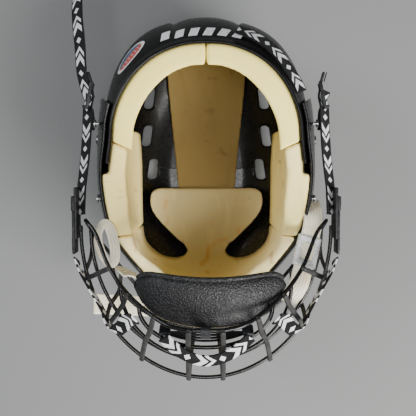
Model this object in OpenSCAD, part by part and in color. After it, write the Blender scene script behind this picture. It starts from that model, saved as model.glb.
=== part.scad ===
// Two-piece ice hockey helmet with a full wire face cage, foam liner, chin cup and straps.
// It lies upturned on its crown: +Z points out of the head opening, +Y to the back of the head,
// -Y to the face, and the origin is on the flat of the crown. Millimetres.

/* [Shell] */
// Half of the width of the front shell at its widest level
half_width = 110; // [106:1:113]
// Distance from the middle of the head to the outside of the forehead
front_reach = 149; // [140:1:156]
// Distance from the middle of the head to the outside of the rear bulge
rear_reach = 152.5; // [146:1:162]
// Height of the widest level at the sides and the back
widest_z = 112; // [106:1:118]
// Height of the widest level at the forehead
brow_widest_z = 88; // [84:1:92]
// Height of the rim above the floor at the forehead
brow_rim_z = 109; // [106:1:112]
// Height of the rim over the ears
ear_rim_z = 167.5; // [162:0.5:172]
// Height of the rim at the back of the head
rear_rim_z = 177.5; // [174:0.5:184]
// Wall thickness of both shells
shell_wall = 3; // [2.4:0.1:3.4]
// Gap between the front shell and the rear shell that slides inside it
shell_gap = 2.5; // [2.4:0.1:3]

/* [Liner] */
// Thickness of the forehead and crown foam
front_foam = 15; // [12:1:17]
// Thickness of the foam at the ears
side_foam = 15; // [12:1:17]
// Thickness of the foam band at the back of the head
rear_foam = 19; // [16:1:21]
// Thickness of the foam strip that runs over the crown
crown_foam = 5; // [3:0.5:5]

/* [Cage] */
// Diameter of the round cage wires
wire_d = 3.6; // [3:0.1:4]
// Width of the flat uprights
upright_w = 4.5; // [4:0.5:6]
// Thickness of the flat uprights
upright_t = 2.6; // [2:0.1:3]
// Distance of the hinge wire in front of the middle of the head
hinge_reach = 147; // [147:0.5:148]
// Height of the hinge wire
hinge_z = 103; // [102.5:0.5:103.5]
// Radial clearance of the hinge wire in its clips
hinge_play = 0.06; // [0.03:0.01:0.09]

/* [Chin cup] */
// Width of the chin cup
cup_w = 132; // [118:1:132]
// Thickness of the padding on the chin cup
cup_pad_t = 7; // [5:0.5:8]
// Thickness of the plastic base of the chin cup
cup_base_t = 2.5; // [2:0.5:3]

/* [Straps] */
// Width of the webbing
webbing_w = 18; // [15:1:20]
// Thickness of the webbing
webbing_t = 1.5; // [1.2:0.1:1.8]
// Width of the elastic ear straps
elastic_w = 18; // [16:1:24]

/* [Hidden] */
head_y = 9;              // plan centre of the head above the widest level
crown_lean = 11;         // how far forward of it the crown sits
crown_flat = 2.5;        // height taken off the crown to make it flat
side_power_front = 2.05; // squareness of the plan outline at the front
side_power_rear = 2.75;  // squareness of the plan outline at the back
rim_rounding = 0.3;      // how much less square it is at the rear rim
dome_power = 3;          // squareness of the dome
bulge_half = 37;         // half width of the middle bulge of the rear shell
bulge_rise = 2.5;        // how far it stands out
lobe_step = 3.5;         // drop beside it, down to the raised lobes
around = 60;             // facets around the head
dome_rings = 11;
band_rings = 4;
cap_ratio = 0.6;         // ring that keeps the rim's end faces level
rear_off = -(shell_wall + shell_gap);
rear_in = rear_off - shell_wall;
nut_t = 1.6;
foam_off = rear_in - nut_t - 0.8;
tall = 400;              // taller than the helmet, for cutters
wire_r = wire_d / 2;
hinge_y = -hinge_reach;
cage_hub = [0, -50, 150]; // point that all cage pieces face away from
strap_hub = [0, 20, 70];

// ---- Small helpers ----
function unit(v) = v / norm(v);
function ease(t) = let (c = min(max(t, 0), 1)) c * c * (3 - 2 * c);
function curve_at(a, b, c, d, t) =
    0.5 * (2 * b + (c - a) * t + (2 * a - 5 * b + 4 * c - d) * t * t
           + (3 * b - a - 3 * c + d) * t * t * t);
function smooth_open(p, steps) = let (n = len(p)) concat(
    [for (i = [0:n - 2]) for (k = [0:steps - 1])
        curve_at(i > 0 ? p[i - 1] : 2 * p[0] - p[1], p[i], p[i + 1],
                 i < n - 2 ? p[i + 2] : 2 * p[n - 1] - p[n - 2], k / steps)],
    [p[n - 1]]);
function smooth_loop(p, steps) = let (n = len(p))
    [for (i = [0:n - 1]) for (k = [0:steps - 1])
        curve_at(p[(i + n - 1) % n], p[i], p[(i + 1) % n], p[(i + 2) % n], k / steps)];
function flip_x(p) = [for (q = p) [-q.x, q.y, q.z]];
function ring(r, n) = [for (i = [0:n - 1]) r * [cos(360 * i / n), sin(360 * i / n)]];
function plate(w, t) = [[w, t] / 2, [-w, t] / 2, [-w, -t] / 2, [w, -t] / 2];

// Sweeps a section along a path, keeping its second axis turned away from the hub.
module sweep(path, section, hub, closed = false) {
    n = len(path);
    m = len(section);
    points = [for (i = [0:n - 1])
        let (before = path[closed ? (i + n - 1) % n : max(i - 1, 0)],
             after = path[closed ? (i + 1) % n : min(i + 1, n - 1)],
             along = unit(after - before),
             across = unit(cross(along, path[i] - hub)),
             out = cross(across, along))
        for (s = section) path[i] + s.x * across + s.y * out];
    sides = [for (i = [0:closed ? n - 1 : n - 2]) for (j = [0:m - 1])
        let (a = i * m + j, b = i * m + (j + 1) % m,
             c = ((i + 1) % n) * m + (j + 1) % m, d = ((i + 1) % n) * m + j)
        each [[a, b, c], [a, c, d]]];
    caps = closed ? [] : [[for (j = [m - 1:-1:0]) j], [for (j = [0:m - 1]) (n - 1) * m + j]];
    polyhedron(points, concat(sides, caps), convexity = 6);
}

// ---- Head form: one surface that both shells and the whole liner are offset from ----
function facing(a) = let (f = abs(((a + 90) % 360 + 360) % 360)) min(f, 360 - f);
function level_z(a) = brow_widest_z + (widest_z - brow_widest_z) * ease((facing(a) - 20) / 60);
function rim_z(a) = brow_rim_z + (ear_rim_z - brow_rim_z) * ease((facing(a) - 30) / 30)
    + (rear_rim_z - ear_rim_z) * ease((facing(a) - 95) / 55);
function tuck(a) = 2 + 7 * ease(facing(a) / 70) + 4 * ease((facing(a) - 85) / 25)
    + 20 * ease((facing(a) - 112) / 55);
// The rear shell bulges in the middle and steps up to a raised lobe on each side.
function lobe(a) = let (x = rear_reach * cos(a) / bulge_half)
    sin(a) > 0 && abs(x) < 1 ? bulge_rise - (bulge_rise + lobe_step) * x * x : 0;
// Plan outline; toward the rim (t = 1) the back of it gets rounder.
function reach(a, d, t = 0) =
    let (power = sin(a) < 0 ? side_power_front
             : side_power_rear - rim_rounding * t * t * ease((facing(a) - 85) / 30),
         along = sin(a) < 0 ? front_reach : rear_reach)
    pow(pow(abs(cos(a)) / (half_width + d), power) + pow(abs(sin(a)) / (along + d), power),
        -1 / power);
// Point of the dome: t runs from 0 at the crown to 1 at the widest level.
function dome_point(a, t, d, extra) =
    let (k = pow(pow(sin(90 * t), dome_power) + pow(cos(90 * t), dome_power), -1 / dome_power),
         r = (reach(a, d) + extra) * sin(90 * t) * k,
         drop = cos(90 * t) * k,
         z = level_z(a) - (level_z(a) + d) * drop)
    [r * cos(a), head_y - crown_lean * drop + r * sin(a),
     max(z, crown_flat - d) - crown_flat];
// Point of the band: t is 0 at the widest level and 1 at the rim, and may pass 1.
function band_point(a, t, d, extra) =
    let (r = reach(a, d, t) + extra - tuck(a) * t * t)
    [r * cos(a), head_y + r * sin(a), level_z(a) + (rim_z(a) - level_z(a)) * t - crown_flat];
function over_rim(a, lift) = 1 + lift / (rim_z(a) - level_z(a));

// The head form offset by d and filled solid, its rim raised by lift.
module form(d, lift = 0, lobes = false) {
    rows = dome_rings + band_rings + 1;
    function spot(i, a) = let (e = lobes ? lobe(a) : 0, f = (i - dome_rings) / band_rings)
        i <= dome_rings ? dome_point(a, i / dome_rings, d, e)
        : i < rows ? band_point(a, f * over_rim(a, lift), d, e * (1 - f * f))
        : let (p = band_point(a, over_rim(a, lift), d, 0))
            [p.x * cap_ratio, head_y + (p.y - head_y) * cap_ratio, p.z];
    points = concat([dome_point(0, 0, d, 0)],
        [for (i = [1:rows]) for (j = [0:around - 1]) spot(i, 360 * j / around)],
        [[0, head_y, ear_rim_z + lift]]);
    last = len(points) - 1;
    faces = concat(
        [for (j = [0:around - 1]) [0, 1 + j, 1 + (j + 1) % around]],
        [for (i = [0:rows - 2]) for (j = [0:around - 1])
            let (a = 1 + i * around + j, b = 1 + i * around + (j + 1) % around)
            each [[a, a + around, b + around], [a, b + around, b]]],
        [for (j = [0:around - 1]) let (a = 1 + (rows - 1) * around)
            [a + j, last, a + (j + 1) % around]]);
    polyhedron(points, faces, convexity = 6);
}

// Everything between two offsets of the head form, open at the rim.
module layer(outer, inner, lift = 0, outer_lobes = false, inner_lobes = false) {
    difference() {
        form(outer, lift, outer_lobes);
        form(inner, lift + 25, inner_lobes);
    }
}

module post(x, y, r) {
    translate([x, y, -1]) cylinder(r = r, h = tall, $fn = 24);
}

// A wall of posts joined one to the next, for outlines seen from above.
module fence(spots) {
    for (i = [0:len(spots) - 2]) hull() {
        post(spots[i].x, spots[i].y, spots[i].z);
        post(spots[i + 1].x, spots[i + 1].y, spots[i + 1].z);
    }
}

// ---- Shells ----
front_edge_y = 40;    // rear edge of the front shell at the crown
front_edge_sweep = 35;
vent_r = 5;
vents = [[64, 6], [70, 45], [66, 88]];
vent_half = 7;
screw_y = 36;
screw_levels = [90, 114];
screw_r = 2.2;
slide_travel = 6;

module vent(p) {
    for (side = [-1, 1]) hull() for (e = [-vent_half, vent_half])
        translate([side * (p.x - e * 0.15), p.y + e, -1]) cylinder(r = vent_r, h = 90, $fn = 20);
}

module front_shell() {
    edge = [for (i = [-4:4]) [i * 30, front_edge_y + front_edge_sweep * pow(i * 0.3, 2)]];
    color("#17181a") difference() {
        layer(0, -shell_wall);
        for (i = [0:len(edge) - 2]) hull() for (p = [edge[i], edge[i + 1]])
            for (y = [p.y, p.y + 200])
                translate([p.x, y, -1]) cylinder(r = 0.5, h = tall, $fn = 12);
        vent(vents[0]);
        vent(vents[1]);
        for (z = screw_levels) translate([0, screw_y, z]) rotate([0, 90, 0])
            cylinder(r = screw_r + 0.15, h = tall, center = true, $fn = 20);
        for (x = [-clip_x, clip_x]) translate([x, -150, clip_screw_z]) rotate([-90, 0, 0])
            cylinder(r = clip_screw_r + 0.15, h = 60, $fn = 20);
        for (spot = [buckle_rivet, ear_rivet]) translate([0, spot.y, spot.z]) rotate([0, 90, 0])
            cylinder(r = rivet_r + 0.1, h = tall, center = true, $fn = 20);
    }
}

module rear_shell() {
    color("#1b1c1e") difference() {
        layer(rear_off, rear_in, 0, true, true);
        for (x = [-120:30:90]) hull() for (u = [x, x + 30])
            for (y = [4 + 0.0008 * u * u, -180])
                translate([u, y, -1]) cylinder(r = 1, h = tall, $fn = 12);
        for (p = vents) vent(p);
        for (z = screw_levels) hull() for (y = [screw_y - slide_travel - 0.6, screw_y + 0.6])
            translate([0, y, z]) rotate([0, 90, 0])
                cylinder(r = screw_r + 0.4, h = tall, center = true, $fn = 20);
    }
}

// ---- Liner ----
pad_front_y = -59;   // seam between the forehead foam and the ear pads
pad_rear_y = 48;      // rear end of the part that runs under the rear band
foam_gap = 0.8;      // glue line between foam and shell

// Outline of the crown tongue as posts: it is broad at the tip and narrow at the neck.
module tongue_outline() {
    rows = [[-25, 57, 9], [-35, 56, 9], [-46, 52, 9], [-60, 41, 9], [-76, 25, 9],
            [-89, 11, 9], [-112, 16, 9]];
    for (i = [0:len(rows) - 2]) hull() for (r = [rows[i], rows[i + 1]]) {
        post(r.y, r.x, r.z);
        post(-r.y, r.x, r.z);
    }
}

// The open space on both sides of the tongue.
module liner_opening() {
    for (side = [-1, 1]) for (i = [0:3]) {
        rows = [[66, 30, 8], [66, -64, 8], [58, -78, 8], [46, -88, 9], [34, -90, 9]];
        hull() for (r = [rows[i], rows[i + 1]]) {
            post(side * r.x, r.y, r.z);
            post(0, r.y + 4, 4);
        }
    }
}

module front_liner() {
    color("#e2c58e") union() {
        difference() {
            layer(-shell_wall - foam_gap, -shell_wall - foam_gap - front_foam, 0.5);
            translate([-150, pad_front_y, -1]) cube([300, 300, tall]);
            liner_opening();
        }
        difference() {
            intersection() {
                layer(-shell_wall - foam_gap, -shell_wall - foam_gap - front_foam);
                tongue_outline();
            }
            translate([-80, -34, -1]) cube([160, 60, 1 + tongue_floor]);
            translate([-150, -300, 90]) cube([300, 600, tall]);
        }
    }
}
tongue_floor = -rear_in + 0.4 + crown_foam + 0.6;

side_pocket_y = 2;    // behind this the pad makes room for the rear shell
side_low_z = 34;
side_in = 74;         // distance of the pad's inner face from the middle of the head
side_in_r = 36;       // roundness of the cut that makes that face

module side_pad(side) {
    step = (pad_rear_y - pad_front_y + 30) / 8;
    end = band_end;
    color("#e6cb97") mirror([side > 0 ? 0 : 1, 0, 0]) difference() {
        layer(-shell_wall - foam_gap, foam_off - side_foam, 1);
        difference() {
            translate([0, side_pocket_y, -1]) cube([200, 100, tall]);
            form(foam_off, 30);
        }
        for (i = [0:7]) hull() for (k = [i, i + 1])
            post(side_in - side_in_r + side_in_shift[k], pad_front_y - 15 + k * step, side_in_r);
        translate([-200, -200, -1]) cube([200 + side_in / 2, 400, tall]);
        translate([0, pad_front_y + 0.8 - 200, -1]) cube([200, 200, tall]);
        translate([0, pad_rear_y, -1]) cube([200, 200, tall]);
        translate([end.x, end.y - 0.6, pad_step_z]) rotate([0, 0, band_end_turn])
            translate([-60, 0, 0]) cube([200, 200, tall]);
        translate([0, -200, -1]) cube([200, 400, 1 + side_low_z]);
    }
}

module side_pad_left() {
    side_pad(-1);
}

module side_pad_right() {
    side_pad(1);
}

band_low_z = 117;
band_low_curve = 0.0009; // rise of its lower face toward the sides
band_front_y = 10;    // nothing of it lies in front of this
band_end = [78, 28];  // inner corner of the slanted end of the band
band_end_turn = 24;
pad_step_z = 124.5;   // the side pad passes under the band below this
side_in_shift = [-1.8, -1, -0.4, -0.1, 0, 0, 0.6, 2, 4]; // how its inner face curves

module rear_band(side) {
    color("#eedcb4") difference() {
        layer(foam_off, foam_off - rear_foam, -0.4, true, false);
        translate([-200, -200, -1]) cube([400, 200 + band_front_y, tall]);
        for (s = [-1, 1]) mirror([s > 0 ? 0 : 1, 0, 0]) translate([band_end.x, band_end.y, -1])
            rotate([0, 0, band_end_turn]) translate([-60, -200, 0]) cube([200, 200, tall]);
        translate([side > 0 ? -200 + 0.2 : -0.2, -200, -1]) cube([200, 500, tall]);
        for (i = [-5:4]) hull() for (x = [i, i + 1] * 26) for (z = [0, band_low_z + band_low_curve * x * x])
            translate([x, 200, z]) rotate([90, 0, 0]) cylinder(r = 3, h = 400, $fn = 24);
    }
}

module rear_band_left() {
    rear_band(-1);
}

module rear_band_right() {
    rear_band(1);
}

module rear_crown_pad() {
    rows = [[-27, 33.5], [0, 35], [30, 38], [60, 41], [90, 43.5], [140, 46]];
    color("#b39a6b") intersection() {
        layer(rear_in - 0.4, rear_in - 0.4 - crown_foam, 0, true, true);
        for (i = [0:len(rows) - 2]) hull() for (r = [rows[i], rows[i + 1]]) for (s = [-1, 1])
            post(s * (r.y - 4), r.x + 4, 4);
        translate([-100, -100, -1]) cube([200, 400, 118]);
    }
}

// ---- Hinge clips and screws of the shells ----
clip_x = 22;          // middle of each hinge clip
clip_w = 10;
clip_screw_z = 84;
clip_screw_r = 1.5;
clip_back_y = -138.8; // back face of the clip plate, just clear of the forehead
clip_plate_t = 2.4;
ring_wall = 2;
screw_head_r = 5;

module hinge_clip(side) {
    ring_r = wire_r + hinge_play + ring_wall;
    front_y = clip_back_y - clip_plate_t;
    color("#222326") difference() {
        union() {
            translate([side * clip_x - clip_w / 2, front_y, clip_screw_z - 6])
                cube([clip_w, clip_plate_t, hinge_z - clip_screw_z + 8]);
            translate([side * clip_x - clip_w / 2, hinge_y, hinge_z - 2])
                cube([clip_w, front_y - hinge_y + 0.5, 4]);
            translate([side * clip_x, hinge_y, hinge_z]) rotate([0, 90, 0])
                cylinder(r = ring_r, h = clip_w, center = true, $fn = 48);
        }
        translate([side * clip_x, hinge_y, hinge_z]) rotate([0, 90, 0])
            cylinder(r = wire_r + hinge_play, h = clip_w + 2, center = true, $fn = 48);
        translate([side * clip_x, front_y - 1, clip_screw_z]) rotate([-90, 0, 0])
            cylinder(r = clip_screw_r + 0.1, h = clip_plate_t + 2, $fn = 32);
    }
}

module hinge_clip_left() {
    hinge_clip(-1);
}

module hinge_clip_right() {
    hinge_clip(1);
}

module clip_screws() {
    color("#8d9094") for (x = [-clip_x, clip_x])
        translate([x, clip_back_y - clip_plate_t - 0.1, clip_screw_z]) rotate([90, 0, 0]) {
            difference() {
                cylinder(r = 3.2, h = 1.6, $fn = 40);
                translate([-3.4, -0.4, 0.9]) cube([6.8, 0.8, 1]);
            }
            translate([0, 0, -5.5]) cylinder(r = clip_screw_r, h = 5.6, $fn = 32);
        }
}

screw_shaft = -rear_in + 0.6;

module size_screws() {
    x = wall_x(screw_y);
    color("#303236") for (z = screw_levels) for (side = [-1, 1])
        translate([side * (x + 0.4), screw_y, z]) rotate([0, side * 90, 0]) {
            difference() {
                cylinder(r1 = screw_head_r, r2 = screw_head_r - 0.8, h = 1.8, $fn = 48);
                for (turn = [0, 90]) rotate([0, 0, turn])
                    translate([-3, -0.5, 0.9]) cube([6, 1, 1]);
            }
            translate([0, 0, -screw_shaft - 0.8]) cylinder(r = screw_r, h = screw_shaft + 0.9, $fn = 32);
        }
}

module size_nuts() {
    x = wall_x(screw_y);
    color("#a8abae") for (z = screw_levels) for (side = [-1, 1])
        translate([side * (x + rear_in - 1.15), screw_y, z]) rotate([0, -side * 90, 0])
            difference() {
                cylinder(r = 5.2, h = nut_t - 0.5, $fn = 48);
                translate([0, 0, -1]) cylinder(r = screw_r + 0.1, h = 4, $fn = 32);
            }
}
function wall_x(y) = half_width * pow(1 - pow(abs(y - head_y) / rear_reach, side_power_rear),
                                      1 / side_power_rear);

// ---- Buckles and webbing on the shell ----
buckle_at = [110, 76, 157];
buckle_turn = [0, -8, 12];
buckle_l = 26;
buckle_h = 24;
buckle_t = 3;

module buckle(side) {
    color("#1d1e20") mirror([side > 0 ? 0 : 1, 0, 0])
        translate(buckle_at) rotate(buckle_turn) {
            difference() {
                cube([buckle_t, buckle_l, buckle_h], center = true);
                for (y = [-7, 3])
                    translate([0, y, 0]) cube([buckle_t + 2, 4.5, buckle_h - 5.6], center = true);
            }
            translate([buckle_t / 2 - 0.1, buckle_l / 2 - 5, -buckle_h / 2])
                rotate([0, 0, -32]) cube([2, 9, buckle_h]);
            translate([0.2, -7, 0]) cylinder(r = 1.2, h = buckle_h - 1, center = true, $fn = 24);
        }
}

module buckle_left() {
    buckle(-1);
}

module buckle_right() {
    buckle(1);
}

rivet_r = 1.8;
buckle_rivet = [105.3, 50, 154];
ear_rivet = [104.6, -22, 148];

module rivets(spot) {
    color("#b9bbbd") for (side = [-1, 1])
        translate([side * spot.x, spot.y, spot.z]) rotate([0, side * 90, 0]) {
            cylinder(r = 4, h = 1.3, $fn = 40);
            translate([0, 0, -3.4]) cylinder(r = rivet_r, h = 3.5, $fn = 32);
        }
}

module buckle_rivets() {
    rivets(buckle_rivet);
}

module ear_rivets() {
    rivets(ear_rivet);
}

// Short webbing that ties each buckle to its rivet.
module buckle_loops() {
    path = [[107.6, 46, 153], [107.6, 54, 154], [107.8, 60, 155.4]];
    color("#202124") for (p = [path, flip_x(path)])
        sweep(smooth_open(p, 2), plate(webbing_w * 0.6, webbing_t), [0, 55, 150]);
}

side_strap_path = [[111, 60.5, 158], [112, 46, 158], [114, 26, 160], [116, 8, 164],
                   [117.5, -7, 168]];
left_tail_path = [[-116, 96.5, 162.5], [-116.3, 103, 164], [-117, 122, 165], [-120, 146, 160],
                  [-122, 168, 150], [-123, 186, 136]];

module side_strap_right() {
    color("#202124") sweep(smooth_open(side_strap_path, 3), plate(webbing_w, webbing_t), strap_hub);
}

module side_strap_left() {
    color("#202124") sweep(smooth_open(flip_x(side_strap_path), 3), plate(webbing_w, webbing_t),
                           strap_hub);
}

module strap_tail_left() {
    color("#202124") sweep(smooth_open(left_tail_path, 3), plate(webbing_w, webbing_t),
                           [0, 110, 60]);
}

// The right tail lies on the slanted back of the rear shell.
module strap_tail_right() {
    path = [for (k = [0:10]) let (a = 38 + 3.9 * k)
        band_point(a, 0.86 - 0.012 * k, rear_off + 2.2 + 1.5 * ease((3 - k) / 3), 0)];
    color("#202124") sweep(path, plate(webbing_w, webbing_t), strap_hub);
}

// ---- Ear straps ----
ear_mid = [94, -70, 175];
ear_dir = unit([-11, -40, 12]);
ear_pitch = -asin(ear_dir.z);
ear_yaw = atan2(ear_dir.y, ear_dir.x);
ear_l = 50;
elastic_t = 1.8;
slider_l = 30;
slider_wall = 1.6;
slider_play = 0.35;

module on_ear_strap() {
    translate(ear_mid) rotate([0, ear_pitch, ear_yaw]) children();
}

module ear_strap_right() {
    color("#ece6d4") on_ear_strap()
        cube([ear_l, elastic_w, elastic_t], center = true);
}

module ear_slider() {
    inner = [slider_l + 2, elastic_w + 2 * slider_play, elastic_t + 2 * slider_play];
    color("#f2f2ee") on_ear_strap() difference() {
        cube([slider_l, inner.y + 2 * slider_wall, inner.z + 2 * slider_wall], center = true);
        cube(inner, center = true);
    }
}

module ear_tail_right() {
    path = [[87, -97, 182.6], [83, -106, 182], [78, -114, 175], [74, -119, 163]];
    color("#e8dec2") sweep(smooth_open(path, 3), plate(elastic_w, elastic_t), [70, -100, 60]);
}

// The left ear strap is doubled into a loop that stands over the rim.
module ear_strap_left() {
    path = [[-97, -44, 171], [-101, -56, 172], [-98, -70, 174], [-91, -82, 175],
            [-86, -80, 175], [-85, -68, 174], [-88, -54, 172], [-92.5, -45, 171]];
    color("#f0ebdb") sweep(smooth_loop(path, 3), plate(elastic_w * 0.55, elastic_t),
                           [-92.5, -63, 160], true);
}

module ear_tail_left() {
    riser = [[-84, -92, 157], [-80, -95, 140], [-72.5, -102.5, 122], [-66, -109.5, 108],
             [-63, -117, 98], [-64, -129, 92.6]];
    flat = [[-60, -142, 90.5], [-80, -141, 90], [-102, -140, 89.4], [-122, -139.5, 89]];
    color("#ece3c8") {
        sweep(smooth_open(riser, 2), plate(elastic_w * 0.8, elastic_t), [0, -20, 110]);
        sweep(smooth_open(flat, 1), plate(elastic_w + 4, elastic_t), [-90, -140, 0]);
    }
}

// ---- Cage ----
// Right half of the edge wire, from the hinge wire at the brow to the chin.
brow_half = 30;
chin_half = 14;
chin_at = [-121.5, 260]; // Y and Z of the wire under the chin
edge_path = [[brow_half - 1, hinge_y, hinge_z], [40, -144.5, 103], [54, -135, 103.5],
             [72, -117, 106.5], [87, -97, 114], [98, -78, 127], [106.5, -62, 143],
             [111.5, -49, 158], [112.5, -41.5, 171], [109, -42, 182], [100, -52, 189],
             [88.5, -75.5, 201], [76, -91.5, 214], [61, -103, 231], [45, -112, 246],
             [30, -118.5, 256], [chin_half - 1, chin_at.x, chin_at.y]];
// Each cross wire: reach to the front, half width, Y of its ends, Z at the front, Z of its ends.
cross_wires = [[158, 96, -85.4, 121, 125], [176, 110, -50, 165, 160], [184.5, 115.5, -46, 190, 179],
               [160, 74.5, -95, 213, 214], [142.5, 56, -108.5, 236, 235]];
// X where an upright passes each cross wire, or its whole point where it meets the edge wire.
upright_stops = [
    [[10, hinge_y, hinge_z], 12, 15, 15.5, 15, 14.5, [13.5, chin_at.x, chin_at.y]],
    [[50, -138.5, 103.3], 53, 57, 58, 52, 46, [42, -113.6, 248.6]],
    [[86, -98.5, 113.5], 87, 90, 89, 72, [66, -99.8, 225.6]],
    [[108.3, -58, 147.5], undef, 107.5, 109, [85, -80.5, 205]]
];

function cross_point(w, x) =
    let (side = min(abs(x) / w[1], 1), bend = sqrt(1 - side * side))
    [x, w[2] - (w[0] + w[2]) * bend, w[4] + (w[3] - w[4]) * bend];

module wire(path, r = wire_r) {
    sweep(path, ring(r, 8), cage_hub);
}

module rod_x(x0, x1, y, z, r) {
    translate([x0, y, z]) rotate([0, 90, 0]) cylinder(r = r, h = x1 - x0, $fn = 48);
}

module edge_wire() {
    color("#101112") union() {
        rod_x(-brow_half, brow_half, hinge_y, hinge_z, wire_r);
        rod_x(-chin_half, chin_half, chin_at.x, chin_at.y, wire_r);
        wire(smooth_open(edge_path, 3), wire_r * 0.985);
        wire(smooth_open(flip_x(edge_path), 3), wire_r * 0.985);
    }
}

module cross_wire(i) {
    w = cross_wires[i];
    color("#101112") wire([for (k = [-12:12]) cross_point(w, w[1] * sin(90 * k / 12))]);
}

module cross_wire_1() {
    cross_wire(0);
}

module cross_wire_2() {
    cross_wire(1);
}

module cross_wire_3() {
    cross_wire(2);
}

module cross_wire_4() {
    cross_wire(3);
}

module cross_wire_5() {
    cross_wire(4);
}

function stand_off(p, by) = p + by * unit([p.x, p.y - cage_hub.y, p.z - cage_hub.z]);

module upright(i, side) {
    stops = upright_stops[i];
    by = wire_r + upright_t / 2 + 0.25;
    spots = [for (k = [0:len(stops) - 1]) if (!is_undef(stops[k]))
        stand_off(is_list(stops[k]) ? stops[k] : cross_point(cross_wires[k - 1], stops[k]), by)];
    path = side > 0 ? spots : flip_x(spots);
    color("#2b2c2e") sweep(smooth_open(path, 4), plate(upright_w, upright_t), cage_hub);
}

module upright_1() {
    upright(3, -1);
}

module upright_2() {
    upright(2, -1);
}

module upright_3() {
    upright(1, -1);
}

module upright_4() {
    upright(0, -1);
}

module upright_5() {
    upright(0, 1);
}

module upright_6() {
    upright(1, 1);
}

module upright_7() {
    upright(2, 1);
}

module upright_8() {
    upright(3, 1);
}

// Clip that holds the snap of the side strap on the cage.
clip_in_x = 119.4;

module side_clip(side) {
    color("#19191b") mirror([side > 0 ? 0 : 1, 0, 0]) difference() {
        union() {
            translate([clip_in_x, -58, 158]) cube([2.4, 48, 24]);
            translate([clip_in_x + 2, -72, 162]) cube([3, 40, 18]);
            translate([clip_in_x + 2, -30, 160]) cube([4, 12, 20]);
        }
        translate([clip_in_x + 1, -24, 170]) rotate([0, 90, 0])
            cylinder(r = 4.2, h = 12, $fn = 40);
    }
}

module side_clip_left() {
    side_clip(-1);
}

module side_clip_right() {
    side_clip(1);
}

cage_strap_path = [[118, -75, 189], [111.5, -87, 196.4], [101, -103, 202], [91.5, -118, 206],
                   [86.5, -129, 211], [80, -134, 216], [73, -129, 223], [66, -120, 232],
                   [59, -116.5, 242]];

module cage_strap(side) {
    path = side > 0 ? cage_strap_path : flip_x(cage_strap_path);
    color("#202124") sweep(smooth_open(path, 3), plate(webbing_w * 0.7, webbing_t), [0, -60, 205]);
}

module cage_strap_left() {
    cage_strap(-1);
}

module cage_strap_right() {
    cage_strap(1);
}

// ---- Chin cup ----
// A crescent that spans from the wire under the chin back towards the throat.
cup_top_y = -83;
cup_low_y = -125.4;
cup_x = 3.5;
cup_z = 246;
cup_steps = 20;
cup_rows = 8;

function cup_point(u, v, lift) =
    let (x = cup_x + cup_w / 2 * u,
         back = cup_top_y + 5 * u * u - 14 * pow(abs(u), 10),
         front = cup_low_y + 14 * u * u + 14 * pow(abs(u), 8),
         y = front + (back - front) * v,
         swell = sqrt(max(1 - pow(2 * v - 1, 4), 0)),
         z = cup_z - 26 * u * u - 9 * pow(1 - v, 2) - 3 * v)
    [x, y, z + lift * (0.25 + 0.75 * swell * (1 - pow(abs(u), 6)))];

module cup_shell(low, high) {
    across = cup_steps + 1;
    half = across * (cup_rows + 1);
    points = [for (lift = [low, high]) for (j = [0:cup_rows]) for (i = [0:cup_steps])
        cup_point(2 * i / cup_steps - 1, j / cup_rows, lift)];
    rim = concat([for (i = [0:cup_steps - 1]) i],
                 [for (j = [0:cup_rows - 1]) cup_steps + j * across],
                 [for (i = [cup_steps:-1:1]) cup_rows * across + i],
                 [for (j = [cup_rows:-1:1]) j * across]);
    faces = concat(
        [for (j = [0:cup_rows - 1]) for (i = [0:cup_steps - 1]) let (a = j * across + i)
            each [[a, a + 1, a + across + 1], [a, a + across + 1, a + across]]],
        [for (j = [0:cup_rows - 1]) for (i = [0:cup_steps - 1]) let (a = half + j * across + i)
            each [[a, a + across + 1, a + 1], [a, a + across, a + across + 1]]],
        [for (k = [0:len(rim) - 1]) let (a = rim[k], b = rim[(k + 1) % len(rim)])
            each [[a, half + b, b], [a, half + a, half + b]]]);
    polyhedron(points, faces, convexity = 4);
}

module chin_cup_pad() {
    color("#141415") cup_shell(0.2, cup_pad_t);
}

// Clip that hangs the cup on the wire under the chin.
chin_clip_w = 8;

module chin_clip() {
    color("#1d1e20") difference() {
        union() {
            rod_x(-chin_clip_w / 2, chin_clip_w / 2, chin_at.x, chin_at.y,
                  wire_r + hinge_play + ring_wall);
            translate([-chin_clip_w / 2, -128, 237]) cube([chin_clip_w, 2.6, chin_at.y - 237]);
            translate([-chin_clip_w / 2, -128, chin_at.y - 3]) cube([chin_clip_w, 4, 3]);
        }
        rod_x(-chin_clip_w, chin_clip_w, chin_at.x, chin_at.y, wire_r + hinge_play);
    }
}

module chin_cup_base() {
    color("#1a1b1c") cup_shell(-cup_base_t, -0.1);
}

tab_x = [-34, 35];

module chin_tabs() {
    color("#1d1e20") for (x = tab_x) translate([x, -126.7, 239.2]) rotate([18, 0, 0])
        cube([9.5, 3, 13.4], center = true);
}

module chin_strap() {
    path = [for (k = [-6:6]) let (f = k / 6) [1 + 36 * f, -151 + 20 * f * f, 245 + f * f]];
    color("#202124") sweep(path, plate(webbing_w * 0.8, webbing_t), [0, -122, 205]);
}

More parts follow.
